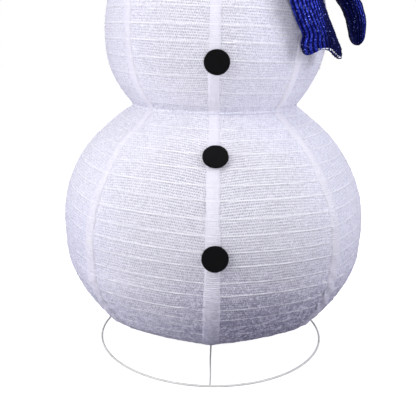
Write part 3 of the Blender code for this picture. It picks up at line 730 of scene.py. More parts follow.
def skin(name, out, step, columns, replaced):
    rows = int(out.length / step) + 1
    s = np.linspace(0, out.length, rows)[:, None]
    points, faces, weave, opened = [], [], [], []
    for k in range(8):
        start = len(points) * rows * (columns + 1)
        middle = (k + 0.5) * GORE
        local = np.linspace(-GORE / 2, GORE / 2, columns + 1)[None, :]
        theta = middle + local + 0 * s
        # the cloth lies lower where a tape is sewn over it
        aside = (GORE / 2 - np.abs(local)) * out.at(s)[0]
        sunk = -0.0007 * np.clip((0.0130 - aside) / 0.0025, 0, 1)
        xyz, n, r, _ = out.point(theta, s + 0 * theta, lift=sunk)
        if out is chest:
            skew = 0.02 + SKEW[k]
        else:
            skew = SKEW[k] * 1.4
        weave.append(weave_of(out, theta, s + 0 * theta, n, r, local + 0 * s, skew).reshape(-1, 3))
        points.append(xyz.reshape(-1, 3))
        opened.append(stretch(theta, xyz[..., 2], out).ravel())
        faces.append(grid_faces(rows, columns + 1, start=start))
    obj = raw_mesh(name, np.vstack(points), np.vstack(faces), CLOTH, np.vstack(weave))
    layer = obj.data.attributes.new("openness", "FLOAT", "POINT")
    layer.data.foreach_set("value", np.concatenate(opened).astype(np.float32))
    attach(obj, "base")
    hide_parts(replaced)
    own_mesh(obj)
    return obj


STEP = 0.0013 if FINE else 0.0024
COLS = 20 if FINE else 12
skin("lower_cloth", lower, STEP, COLS, "lower_skin")
skin("chest_cloth", chest, STEP, COLS, "chest_skin")
skin("head_cloth", head, STEP, COLS, "head_skin")


# ------------------------------------------------------------------- the tapes
def tape(number):
    """A bound tape over one seam, running on over the waist and the neck."""
    angle = number * GORE
    across = 7
    grids, weaves, runs = [], [], 0.0
    for out, width, s0, s1 in (
        (lower, 0.0240, 0.004, lower.length),
        (chest, 0.0182, 0.0, chest.length),
        (head, 0.0170, 0.0, head.length - 0.004),
    ):
        rows = int((s1 - s0) / (0.0022 if FINE else 0.004)) + 1
        s = np.linspace(s0, s1, rows)[:, None]
        r, _, _, _ = out.at(s)
        n0 = out.turn(np.full_like(s, angle), s)
        f = n0 - np.round(n0)
        half = width / 2
        if out is lower:
            # slimmer towards the waist, as the seam closes up
            half = np.interp(s, [0, lower.length * 0.35, lower.length * 0.58, lower.length], [0.0148, 0.0142, width / 2, 0.0092])
        half = np.minimum(half, r * 0.10 + 0.0045)
        half = half * (1 + (0.03 if number == 0 else 0.055) * np.cos(2 * np.pi * f) + 0.02 * np.sin(s * 55 + number))
        t = np.concatenate([[-1.05], np.linspace(-1, 1, across), [1.05]])[None, :]
        theta = angle + t * half / r
        lift = np.where(np.abs(t) > 1.0, -0.0010, 0.0006 * (1 - np.abs(t) ** 4) + 0.0003)
        lift = lift + 0.0004 * np.clip(np.cos(np.pi * t / 2), 0, 1) * (0.5 - 0.5 * np.cos(2 * np.pi * f))
        xyz, n, _, _ = out.point(theta, s + 0 * t, lift=lift, ridge=0.8, rough=1.0)
        grids.append(xyz)
        weaves.append(np.stack([t * half, runs + s + 0 * t, n], -1))
        runs += s1
    top = np.vstack(grids)
    weave = np.vstack(weaves)
    rows, cols = top.shape[:2]
    obj = raw_mesh(f"tape_{number + 1}", top.reshape(-1, 3), grid_faces(rows, cols), TAPE, weave.reshape(-1, 3))
    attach(obj, "base")
    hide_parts(f"seam_tape_{number + 1}")
    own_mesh(obj)
    return obj


for k in range(8):
    tape(k)


def welt(name, upper, lowered, radius):
    """The cloth strip that is folded round the hoop between two balls."""
    theta = np.linspace(0, 2 * np.pi, 321)[:-1]
    a, _, _, off = upper.point(theta, np.full_like(theta, 0.002), ridge=0.0, rough=0.4)
    b, _, _, _ = lowered.point(theta, np.full_like(theta, lowered.length - 0.002), ridge=0.0, rough=0.4)
    path = (a + b) / 2
    size = radius * (1 + 0.10 * np.sin(theta * 88 + 2 * np.sin(theta * 5)) + 0.10 * np.exp(-((off / 0.03) ** 2)))
    obj = tube_mesh(name, path, size, CLOTH, sides=12, cyclic=True)
    n = len(obj.data.vertices)
    drawn = obj.data.attributes.new("openness", "FLOAT", "POINT")
    drawn.data.foreach_set("value", np.full(n, 0.25, np.float32))
    around = np.repeat(np.arange(len(theta)), 12) * (2 * np.pi / len(theta)) * 0.16
    across = np.tile(np.linspace(0, 2 * np.pi * radius, 12, endpoint=False), len(theta))
    layer = obj.data.attributes.new("weave", "FLOAT_VECTOR", "POINT")
    layer.data.foreach_set("vector", np.stack([around[:n], across[:n], np.full(n, 0.5)], -1).astype(np.float32).ravel())
    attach(obj, "base")
    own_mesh(obj)


welt("waist_welt", chest, lower, 0.0026)
welt("neck_welt", head, chest, 0.0026)


# ------------------------------------------------------------- loose fibres
def fibres():
    """Short ends of tinsel yarn that stand off the cloth, thickest where the cloth is drawn in."""
    rng = np.random.default_rng(77)
    points, faces = [], []

    def one(out, theta, s, length, lean, turn, width):
        base, _, _, _ = out.point(np.array([theta]), np.array([s]), lift=-0.0003)
        _, _, dr, dz = out.at(s)
        normal = np.array([dz * math.sin(theta), -dz * math.cos(theta), -dr])
        around = np.array([math.cos(theta), math.sin(theta), 0.0])
        along = np.cross(normal, around)
        way = normal * math.cos(lean) + (around * math.cos(turn) + along * math.sin(turn)) * math.sin(lean)
        a = np.cross(way, along)
        a /= np.linalg.norm(a)
        b = np.cross(way, a)
        n = len(points)
        for k in range(3):
            q = 2 * math.pi * k / 3
            points.append(base[0] + width * (math.cos(q) * a + math.sin(q) * b))
        points.append(base[0] + way * length)
        faces.extend([(n, n + 2, n + 1), (n, n + 1, n + 3), (n + 1, n + 2, n + 3), (n + 2, n, n + 3)])

    for out, count in ((lower, 3700), (chest, 1900), (head, 700)):
        s = rng.uniform(0.004, out.length - 0.004, count * 3)
        keep = rng.uniform(0, 1, count * 3) < out.at(s)[0] / out.r.max()
        for value in s[keep][:count]:
            one(out, rng.uniform(-math.pi, math.pi), float(value), rng.uniform(0.0014, 0.0034), abs(rng.normal(0, 0.7)), rng.uniform(0, 6.283), rng.uniform(0.00026, 0.00046))
    for value in rng.uniform(0.004, float(lower.s_of(0.235)), 3800):
        one(lower, rng.uniform(-math.pi, math.pi), float(value), rng.uniform(0.0012, 0.0028), abs(rng.normal(0, 0.7)), rng.uniform(0, 6.283), rng.uniform(0.00026, 0.00044))
    for out, mid in ((chest, 0.006), (lower, lower.length - 0.006)):
        for _ in range(160):
            s = abs(mid + rng.normal(0, 0.005))
            one(out, rng.uniform(-math.pi, math.pi), min(max(s, 0.001), out.length - 0.001), rng.uniform(0.0020, 0.0050), abs(rng.normal(0, 0.8)), rng.uniform(0, 6.283), rng.uniform(0.00030, 0.00050))
    # a few longer pulled threads
    for out, degrees, z in ((lower, 84.0, 0.378), (lower, 83.0, 0.372), (lower, -97.0, 0.300), (chest, 79.0, 0.560), (lower, 150.0, 0.330), (chest, -140.0, 0.700)):
        one(out, math.radians(degrees), float(out.s_of(z)), 0.0062, 0.5, 1.2, 0.0008)
    obj = raw_mesh("loose_fibres", np.array(points), np.array(faces), FIBRE, smooth=False)
    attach(obj, "base")
    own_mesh(obj)


fibres()


# ------------------------------------------------------------ the spring wires
def coil(name, out, replaced):
    """The sprung wire, just under the cloth's ridges."""
    lo = out.turn(0.0, 0.006)
    hi = out.turn(0.0, out.length - 0.006)
    per = 96 if FINE else 48
    count = int((hi - lo) * per)
    turns = np.linspace(lo, hi, count)
    theta = -(turns - turns[0]) * 2 * np.pi
    # the front's turn number is turns minus the angle's share
    s = np.interp(turns, out.turn_n, out.turn_s)
    xyz, _, _, _ = out.point(theta, s, lift=-0.0022, ridge=0.0, rough=0.0)
    obj = tube_mesh(name, xyz, 0.0010, SPRING, sides=6)
    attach(obj, "base")
    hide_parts(replaced)
    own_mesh(obj)
    return obj


coil("lower_coil", lower, "lower_spring_wire")
coil("chest_coil", chest, "chest_spring_wire")
coil("head_coil", head, "head_spring_wire")


# ---------------------------------------------------------------- light string
def light_string():
    path, lamps, turn = [], [], math.radians(200.0)
    for ball, low, high, turns, share in ((LOWER, 0.075, 0.440, 2.5, 0.88), (CHEST, 0.520, 0.780, 2.0, 0.88), (HEAD, 0.850, 0.990, 1.5, 0.84)):
        steps = int(turns * 40)
        for n in range(steps + 1):
            t = n / steps
            z = low + (high - low) * t
            r = share * float(ball_radius(ball, z)) * (1 + 0.02 * math.sin(turn * 3.1))
            sag = 0.004 * math.sin(turn * 8)
            path.append((r * math.sin(turn), -r * math.cos(turn), z + sag))
            if n % 5 == 2:
                lamps.append((path[-1], turn))
            turn += 2 * math.pi * turns / steps
        if ball is not HEAD:
            joint = WAIST_Z if ball is LOWER else NECK_Z
            for inward, rise in ((0.100, -0.022), (0.085, 0.0), (0.100, 0.022)):
                turn += 0.21
                path.append((inward * math.sin(turn), -inward * math.cos(turn), joint + rise))
            turn += 0.21
    lead = tube_mesh("light_lead", path, 0.0008, LAMP, sides=5)
    made = [lead]
    for (x, y, z), turn in lamps:
        bm = bmesh.new()
        bmesh.ops.create_uvsphere(bm, u_segments=10, v_segments=8, radius=1.0)
        out = Vector((math.sin(turn), -math.cos(turn), 0.15)).normalized()
        frame_m = out.to_track_quat("Z", "Y").to_matrix().to_4x4()
        for v in bm.verts:
            v.co = Vector((x, y, z)) + frame_m @ Vector((v.co.x * 0.0034, v.co.y * 0.0034, v.co.z * 0.0075 + 0.005))
        mesh = bpy.data.meshes.new("lamp")
        bm.to_mesh(mesh)
        bm.free()
        made.append(finish_mesh("lamp", mesh, LAMP))
    obj = join("lights", made)
    obj.data.shade_smooth()
    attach(obj, "base")
    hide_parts("light_string")
    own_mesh(obj)


light_string()


# ------------------------------------------------------------ ring and spokes
def hoop(name, radius, wire, z, mat, body, replaced, around=10, sides=192):
    ang = np.linspace(0, 2 * np.pi, sides, endpoint=False)
    path = np.stack([radius * np.sin(ang), -radius * np.cos(ang), z + 0 * ang], -1)
    obj = tube_mesh(name, path, wire / 2, mat, sides=around, cyclic=True)
    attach(obj, body)
    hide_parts(replaced)
    return obj


RING_R = 0.2296
ring = hoop("ring", RING_R, 0.0040, 0.0020, WIRE, "base", "ground_ring", around=12)


def weld(name, x, y, z, size, body="base"):
    bm = bmesh.new()
    bmesh.ops.create_icosphere(bm, subdivisions=3, radius=1.0)
    lump = waves(5, 6, 2, 5)
    for v in bm.verts:
        k = 1 + 0.10 * lump(v.co.x, v.co.y, v.co.z)
        v.co = Vector((x + v.co.x * size[0] * k, y + v.co.y * size[1] * k, z + v.co.z * size[2] * k))
    mesh = bpy.data.meshes.new(name)
    bm.to_mesh(mesh)
    bm.free()
    obj = finish_mesh(name, mesh, WIRE)
    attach(obj, body)
    return obj


for name, node, angle in (("spoke_a", "spoke_front", 0.0), ("spoke_b", "spoke_right", 120.0), ("spoke_c", "spoke_left", 240.0)):
    a = math.radians(angle)
    t = np.linspace(0, 1, 40)
    reach = 0.0340 + (RING_R - 0.0022 - 0.0340) * t
    bow = 0.0010 * np.sin(t * np.pi) + 0.0006 * np.sin(t * 9)
    path = np.stack([reach * math.sin(a) + bow * math.cos(a), -reach * math.cos(a) + bow * math.sin(a), 0.0022 + 0 * t], -1)
    obj = tube_mesh(name, path, 0.0015, WIRE, sides=10)
    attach(obj, "base")
    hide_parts(node)
    weld(f"weld_{name[-1]}", (RING_R - 0.0026) * math.sin(a), -(RING_R - 0.0026) * math.cos(a), 0.0023, (0.0027, 0.0027, 0.0019))

# the ring's own butt joint
a = math.radians(78.0)
weld("ring_joint", RING_R * math.sin(a), -RING_R * math.cos(a), 0.0021, (0.0025, 0.0034, 0.0023))


# ------------------------------------------------------------- pole and plates
for node, mat in (
    ("base_hub", WHITE_PLASTIC),
    ("hem_plate", WHITE_PLASTIC),
    ("crown_plate", WHITE_PLASTIC),
    ("lower_tube", TUBE),
    ("middle_tube", TUBE),
    ("upper_tube", TUBE),
    ("lower_collar", GREY_PLASTIC),
    ("middle_collar", GREY_PLASTIC),
    ("hem_hoop", SPRING),
    ("waist_hoop", SPRING),
    ("neck_hoop", SPRING),
    ("crown_hoop", SPRING),
):
    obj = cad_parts[node]
    if not obj.material_slots:
        obj.data.materials.append(mat)
    for slot in obj.material_slots:
        slot.material = mat


# ------------------------------------------------------------ felt pieces
def stand(ball, angle, z, lift, shift=0.0):
    """A frame on the cloth: local Z straight out of it, Y up."""
    a = math.radians(angle)
    step = 0.002
    slope = Vector((float(ball_radius(ball, z + step) - ball_radius(ball, z - step)), 2 * step)).normalized()
    normal = Vector((slope.y * math.sin(a), -slope.y * math.cos(a), -slope.x))
    r = float(ball_radius(ball, z))
    spot = Vector((r * math.sin(a), -r * math.cos(a), z)) + normal * lift
    across = Vector((math.cos(a), math.sin(a), 0.0))
    up = normal.cross(across)
    return Matrix.Translation(spot + across * shift) @ Matrix((across, up, normal)).transposed().to_4x4()


def felt_disc(name, diameter, thick, matrix, mat, seed, body, node, bend=0.0, anchor=None):
    """A cut felt disc with a soft edge; the outline is a little uneven."""
    rings = [(0.0, 1.0), (0.35, 1.0), (0.7, 1.0), (0.88, 0.98), (0.955, 0.90), (0.99, 0.72), (1.0, 0.45), (0.995, 0.18), (0.975, 0.0), (0.7, 0.0), (0.0, 0.0)]
    sides = 72
    ang = np.linspace(0, 2 * np.pi, sides, endpoint=False)
    edge = 1 + 0.007 * waves(seed, 5, 1, 4)(np.cos(ang) * 2, np.sin(ang) * 2) + 0.004 * waves(seed + 1, 6, 4, 12)(np.cos(ang) * 2, np.sin(ang) * 2)
    lump = waves(seed + 2, 8, 60, 220)
    pts, faces = [], []
    for rr, h in rings:
        if rr == 0.0:
            pts.append([(0.0, 0.0, h * thick)])
            continue
        x, y = rr * edge * np.cos(ang) * diameter / 2, rr * edge * np.sin(ang) * diameter / 2
        z = h * thick + 0.00016 * lump(x, y) * (h > 0.5)
        pts.append(np.stack([x, y, z], -1))
    flat, index = [], []
    for ring_points in pts:
        index.append(len(flat))
        flat += [tuple(p) for p in ring_points]
    for i in range(1, len(pts) - 2):
        for j in range(sides):
            k = (j + 1) % sides
            faces.append((index[i] + j, index[i + 1] + j, index[i + 1] + k, index[i] + k))
    faces += [(index[1] + j, index[1] + (j + 1) % sides, 0) for j in range(sides)]
    last = index[-2]
    faces += [(last + (j + 1) % sides, last + j, index[-1]) for j in range(sides)]
    flat = [(x, y, z - bend * (x * x + y * y)) for x, y, z in flat]
    obj = polymesh(name, [matrix @ Vector(p) for p in flat], faces, mat)
    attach(obj, body)
    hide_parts(node)
    if anchor is not None:
        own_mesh(obj)
    return obj


BUTTON_X = 0.0035


def on_tape(out, z, lift, aside=0.0):
    """A frame on the front tape, as stand() gives, but on the cloth itself."""
    s = float(out.s_of(z))
    xyz, _, _, _ = out.point(np.array([0.0]), np.array([s]), lift=0.0016, ridge=0.0, rough=0.0)
    a, _, _, _ = out.point(np.zeros(2), np.array([s - 0.018, s + 0.018]), ridge=0.0, rough=0.0)
    up = Vector(a[1] - a[0])
    up.x = 0.0
    up.normalize()
    across = Vector((1.0, 0.0, 0.0))
    normal = across.cross(up)
    spot = Vector(xyz[0]) + normal * lift
    return Matrix.Translation(spot + across * (BUTTON_X + aside - sway(z))) @ Matrix((across, up, normal)).transposed().to_4x4()


felt_disc("button_a", 0.0440, 0.0032, on_tape(lower, 0.2672, 0.0012, 0.0018), BLACK, 3, "low_button", "button_low", bend=0.4, anchor=0.2648)
felt_disc("button_b", 0.0440, 0.0032, on_tape(lower, 0.4182, 0.0016), BLACK, 8, "middle_button", "button_middle", bend=0.4, anchor=0.4196)
felt_disc("button_c", 0.0440, 0.0032, on_tape(chest, 0.5741, 0.0012), BLACK, 15, "top_button", "button_top", bend=0.4, anchor=0.5741)
felt_disc("eye_a", 0.0260, 0.0030, stand(HEAD, -21.0, 0.962, 0.0018), BLACK, 21, "eyes", "eye_left", anchor=0.962)
felt_disc("eye_b", 0.0260, 0.0030, stand(HEAD, 21.0, 0.962, 0.0018), BLACK, 25, "eyes", "eye_right", anchor=0.962)
for n, (angle, z) in enumerate(((-25.0, 0.893), (-15.5, 0.880), (-6.5, 0.873), (6.5, 0.873), (15.5, 0.880), (25.0, 0.893))):
    felt_disc(f"smile_{n + 1}", 0.0150, 0.0030, stand(HEAD, angle, z, 0.0032 if abs(angle) < 8 else 0.0018), BLACK, 31 + 3 * n, "mouth", f"mouth_dot_{n + 1}", anchor=0.882)


def nose():
    """A stuffed felt carrot with a seam and a few soft creases."""
    m = stand(HEAD, 0, 0.922, 0.0030)
    rows, sides, length = 48, 40, 0.0800
    t = np.linspace(0, 1, rows)[:, None]
    ang = np.linspace(0, 2 * np.pi, sides, endpoint=False)[None, :]
    radius = 0.0160 * (1 - t) ** 0.92 + 0.0022 * np.sqrt(np.clip(1 - t**6, 0, 1))
    radius = radius * (1 + 0.035 * np.sin(t * 34 + 1.5 * np.sin(ang + 1)) * (1 - t) + 0.02 * np.sin(ang * 2 + t * 5))
    radius = radius - 0.0006 * np.exp(-((((ang - 4.7 + np.pi) % (2 * np.pi) - np.pi) / 0.12) ** 2))
    radius = radius * np.clip(np.minimum(1.0, 0.90 + t * 4), 0, 1)
    x, y = radius * np.cos(ang), radius * np.sin(ang) - 0.004 * t**2
    z = t * length * 0.985 + 0 * ang
    pts = np.stack([x, y, z], -1).reshape(-1, 3)
    faces = [tuple(f) for f in grid_faces(rows, sides, wrap=True)]
    faces.append(tuple(range(sides))[::-1])
    tip = len(pts)
    pts = np.vstack([pts, [[0, -0.004, length * 0.995]]])
    last = (rows - 1) * sides
    faces += [(last + i, last + (i + 1) % sides, tip) for i in range(sides)]
    obj = polymesh("carrot", [m @ Vector(p) for p in pts], faces, ORANGE)
    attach(obj, "nose_body")
    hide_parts("nose")


nose()


# ------------------------------------------------------------------------- hat
BRIM_LOW = CROWN_Z + 0.0012


def hat():
    uneven = waves(51, 6, 1, 3)

    def curl(r, z, ang):
        lift = 0.0035 * np.clip((r - 0.095) / 0.04, 0, 1) ** 2 * np.cos(2 * ang + 0.4)
        return r * (1 + 0.004 * uneven(np.cos(ang) * 2, np.sin(ang) * 2)), z + np.abs(lift) * 0.9

    brim = [(0.070, 0.0040), (0.095, 0.0040), (0.115, 0.0041), (0.130, 0.0042), (0.1338, 0.0038), (0.1350, 0.0028), (0.1350, 0.0014), (0.1338, 0.0004), (0.130, 0.0), (0.115, 0.0), (0.095, 0.0), (0.070, 0.0)]
    obj = turned("brim", [(r, BRIM_LOW + z) for r, z in brim], BLACK, 128, wobble=curl)
    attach(obj, "top")
    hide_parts("hat_brim")

    low = BRIM_LOW + 0.0043
    top = 1.2200
    side = []
    for t in np.linspace(0, 1, 26):
        side.append((0.0880 + 0.0080 * t - 0.0022 * math.sin(math.pi * t), low + (top - 0.006 - low) * t))
    crown = [(0.001, top - 0.0022), (0.03, top - 0.0018), (0.06, top - 0.0006), (0.080, top), (0.088, top - 0.0002), (0.0935, top - 0.0016)] + side[::-1]
    crown += [(0.0850, low)] + [(r - 0.003, z) for r, z in side[1:-2]] + [(0.088, top - 0.006), (0.001, top - 0.0065)]

    def dents(r, z, ang):
        part = np.clip((z - low) / (top - low), 0, 1)
        k = 0.0012 * uneven(np.cos(ang) * 2, np.sin(ang) * 2 + z * 14) * np.sin(np.pi * part)
        return np.maximum(r + k * (r > 0.05), 0.0005), z

    obj = turned("crown", crown, BLACK, 128, wobble=dents, closed=True)
    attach(obj, "top")
    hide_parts("hat_crown")

    # the band is ribbed like the scarf
    rows = 61
    t = np.linspace(0, 1, rows)
    height = 0.0300
    ribs = 4
    h = np.cos(2 * np.pi * ribs * t)
    out_r = 0.0886 + 0.0030 + 0.0010 * h * np.sin(np.pi * np.clip(t * 1.0, 0, 1)) ** 0.3
    z = low + 0.0008 + height * t
    steps = 160
    ang = np.linspace(0, 2 * np.pi, steps, endpoint=False)
    wob = 0.0004 * np.sin(ang * 9)[None, :]
    pts = np.stack([(out_r[:, None] + wob) * np.sin(ang), -(out_r[:, None] + wob) * np.cos(ang), z[:, None] + 0 * ang], -1)
    inner = np.stack([(0.0886 + 0 * t)[:, None] * np.sin(ang), -(0.0886 + 0 * t)[:, None] * np.cos(ang), z[:, None] + 0 * ang], -1)[::-1]
    full = np.concatenate([pts, inner], 0)
    weave = np.stack([np.concatenate([t, t[::-1]])[:, None] * height + 0 * ang, 0.09 * ang[None, :] + 0 * np.concatenate([t, t])[:, None], np.concatenate([h, -np.ones(rows)])[:, None] + 0 * ang], -1)
    faces = grid_faces(2 * rows, steps, wrap=True)
    last = (2 * rows - 1) * steps
    a, b = np.arange(steps), (np.arange(steps) + 1) % steps
    faces = np.vstack([faces, np.stack([last + a, last + b, b, a], -1)])
    obj = raw_mesh("band", full.reshape(-1, 3), faces, BLUE, weave.reshape(-1, 3))
    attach(obj, "top")
    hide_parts("hat_band")


hat()


# ----------------------------------------------------------------------- scarf
SCARF_Z = 0.824
KNOT_ANGLE = 42.0


def smooth_path(stations, count):
    """Catmull-Rom through rows of numbers, evenly by index."""
    p = np.asarray(stations, float)
    p = np.vstack([2 * p[0] - p[1], p, 2 * p[-1] - p[-2]])
    t = np.linspace(0, len(p) - 3 - 1e-9, count)
    i = t.astype(int)
    f = (t - i)[:, None]
    a, b, c, d = p[i], p[i + 1], p[i + 2], p[i + 3]
    return 0.5 * ((2 * b) + (c - a) * f + (2 * a - 5 * b + 4 * c - d) * f**2 + (3 * b - a - 3 * c + d) * f**3)


def scarf_band():
    """Ribbed cloth wound round the neck: the ribs run round it, and it dips and twists a little."""
    outline = np.array([
        (0.166, 0.044), (0.174, 0.043), (0.182, 0.037), (0.188, 0.026), (0.191, 0.013), (0.192, 0.000), (0.191, -0.013),
        (0.188, -0.026), (0.182, -0.035), (0.174, -0.039), (0.166, -0.038), (0.157, -0.030), (0.150, -0.015), (0.148, -0.003),
        (0.151, 0.012), (0.155, 0.026), (0.160, 0.038),
    ])
    closed = np.vstack([outline, outline[:1]])
    arc = np.concatenate([[0], np.cumsum(np.hypot(*np.diff(closed, axis=0).T))])
    rows = 220 if FINE else 110
    q = np.linspace(0, arc[-1], rows, endpoint=False)
    # periodic smoothing of the outline
    r = np.interp(q, arc, closed[:, 0])
    z = np.interp(q, arc, closed[:, 1])
    for _ in range(12):
        r = (np.roll(r, 1) + r + np.roll(r, -1)) / 3
        z = (np.roll(z, 1) + z + np.roll(z, -1)) / 3
    dr, dz = np.roll(r, -1) - np.roll(r, 1), np.roll(z, -1) - np.roll(z, 1)
    n = np.hypot(dr, dz)
    nr, nz = -dz / n, dr / n
    ribs = round(arc[-1] / 0.0092)
    steps = 300 if FINE else 150
    ang = np.linspace(0, 2 * np.pi, steps, endpoint=False)[None, :]
    twist = 0.9 * np.sin(ang * 1.0 + 0.6) + 0.35 * np.sin(3 * ang)
    h = np.cos(2 * np.pi * ribs * q[:, None] / arc[-1] + twist)
    fold = 0.0022 * np.sin(ang * 5 + 2.2 * np.sin(ang * 2)) * np.clip(nr, 0, 1)[:, None]
    fold = fold + 0.0013 * np.sin(ang * 13 + 8 * q[:, None] / arc[-1] * 2)
    d = 0.0016 * h + fold - 0.0022
    # drawn in under the knot
    off = (ang - math.radians(KNOT_ANGLE) + np.pi) % (2 * np.pi) - np.pi
    pinch = np.exp(-((off / 0.20) ** 2))
    zz = z[:, None] * (1 - 0.22 * pinch) + nz[:, None] * d + 0.003 * np.sin(ang * 2 + 1.0)
    rr = r[:, None] + nr[:, None] * d - 0.004 * pinch * np.clip(nr, 0, 1)[:, None]
    pts = np.stack([rr * np.sin(ang), -rr * np.cos(ang), SCARF_Z + zz], -1)
    weave = np.stack([q[:, None] + 0 * ang, 0.18 * ang + 0 * q[:, None], h], -1)
    faces = grid_faces(rows, steps, wrap=True)
    last = (rows - 1) * steps
    a, b = np.arange(steps), (np.arange(steps) + 1) % steps
    faces = np.vstack([faces, np.stack([last + a, last + b, b, a], -1)])[:, ::-1]
    obj = raw_mesh("neck_band", pts.reshape(-1, 3), faces, BLUE, weave.reshape(-1, 3))
    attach(obj, "scarf")
    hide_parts("scarf_wrap")
    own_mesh(obj)
    return obj


def ribbed_strip(name, centre, out_dir, across_dir, half, thick, ribs, mat, hem=None, curl=None, depth=0.0016, round_end=False, seed=1):
    """A flat padded strip with ribs along it. All inputs are arrays along its length."""
    n = len(centre)
    m = 96 if FINE else 56
    face = m // 2
    # the section runs over the outer face and back under
    x_out = np.linspace(1, -1, face)
    x_in = np.linspace(-1, 1, m - face)
    x = np.concatenate([x_out, x_in])
    side = np.concatenate([np.ones(face), -np.ones(m - face)])
    body = np.clip(1 - np.abs(x) ** 5, 0, 1) ** 0.5
    along = np.concatenate([[0], np.cumsum(np.linalg.norm(np.diff(centre, axis=0), axis=1))])
    h = np.cos(np.pi * ribs * x)[None, :] + 0 * along[:, None]
    t = along / along[-1]
    shrink = np.ones(n)
    if round_end:
        end = np.clip((along[-1] - along) / (half.mean() * 1.0), 0, 1)
        shrink = np.sqrt(np.clip(1 - (1 - end) ** 2, 0.0, 1))
    w = (half * shrink)[:, None] * x[None, :]
    off = side[None, :] * body[None, :] * ((thick / 2 * np.maximum(shrink, 0.15))[:, None] + depth * 0.5 * (h + 0.4))
    if curl is not None:
        off = off + curl(w, along[:, None], x[None, :])
    drop = 0.0
    pts = centre[:, None] + w[..., None] * across_dir[:, None] + off[..., None] * out_dir[:, None]
    if hem is not None:
        down = np.gradient(centre, axis=0)
        down /= np.linalg.norm(down, axis=1)[:, None]
        drop = hem(x)[None, :] * (t[:, None] ** 6)
        pts = pts + drop[..., None] * down[:, None]
    weave = np.stack([w + 0 * off, along[:, None] + 0 * w, h], -1)
    faces = [tuple(f) for f in grid_faces(n, m, wrap=True)]
    flat = pts.reshape(-1, 3)
    wv = weave.reshape(-1, 3)
    # close both ends across the section
    for row, flip in ((0, True), (n - 1, False)):
        base = row * m
        left = [base + i for i in range(face)]
        right = [base + m - 1 - i for i in range(m - face)]
        for i in range(min(face, m - face) - 1):
            quad = (left[i], left[i + 1], right[i + 1], right[i])
            faces.append(quad[::-1] if flip else quad)
    obj = polymesh(name, flat, faces, mat, wv)
    return obj, pts, along


def polar(radius, angle, z):
    a = np.radians(angle)
    return np.stack([radius * np.sin(a), -radius * np.cos(a), z], -1)


# each tail's stations: height, then x and y of its left and right edge
FRONT_TAIL = (
    (0.7830, 0.0980, -0.1650, 0.1370, -0.1335),
    (0.7450, 0.1046, -0.1775, 0.1577, -0.1371),
    (0.7100, 0.1137, -0.1907, 0.1739, -0.1444),
    (0.6748, 0.1205, -0.1964, 0.1855, -0.1413),
    (0.6590, 0.1259, -0.1959, 0.1922, -0.1397),
    (0.6432, 0.1327, -0.1931, 0.1997, -0.1362),
    (0.6273, 0.1416, -0.1869, 0.2082, -0.1304),
    (0.6176, 0.1454, -0.1834, 0.2136, -0.1255),
    (0.6078, 0.1440, -0.1830, 0.2196, -0.1193),
    (0.5979, 0.1440, -0.1818, 0.2253, -0.1128),
    (0.5829, 0.1495, -0.1745, 0.2285, -0.1080),
)
BACK_TAIL = (
    (0.7850, 0.1456, -0.1249, 0.1680, -0.0930),
    (0.7550, 0.1662, -0.1176, 0.1906, -0.0885),
    (0.7220, 0.1977, -0.0881, 0.2321, -0.0641),
    (0.6861, 0.2250, -0.0480, 0.2713, -0.0420),
    (0.6681, 0.2371, -0.0480, 0.2791, -0.0420),
    (0.6500, 0.2447, -0.0480, 0.2845, -0.0420),
    (0.6317, 0.2500, -0.0480, 0.2848, -0.0420),
    (0.6170, 0.2537, -0.0480, 0.2827, -0.0430),
    (0.6035, 0.2560, -0.0470, 0.2810, -0.0440),
)


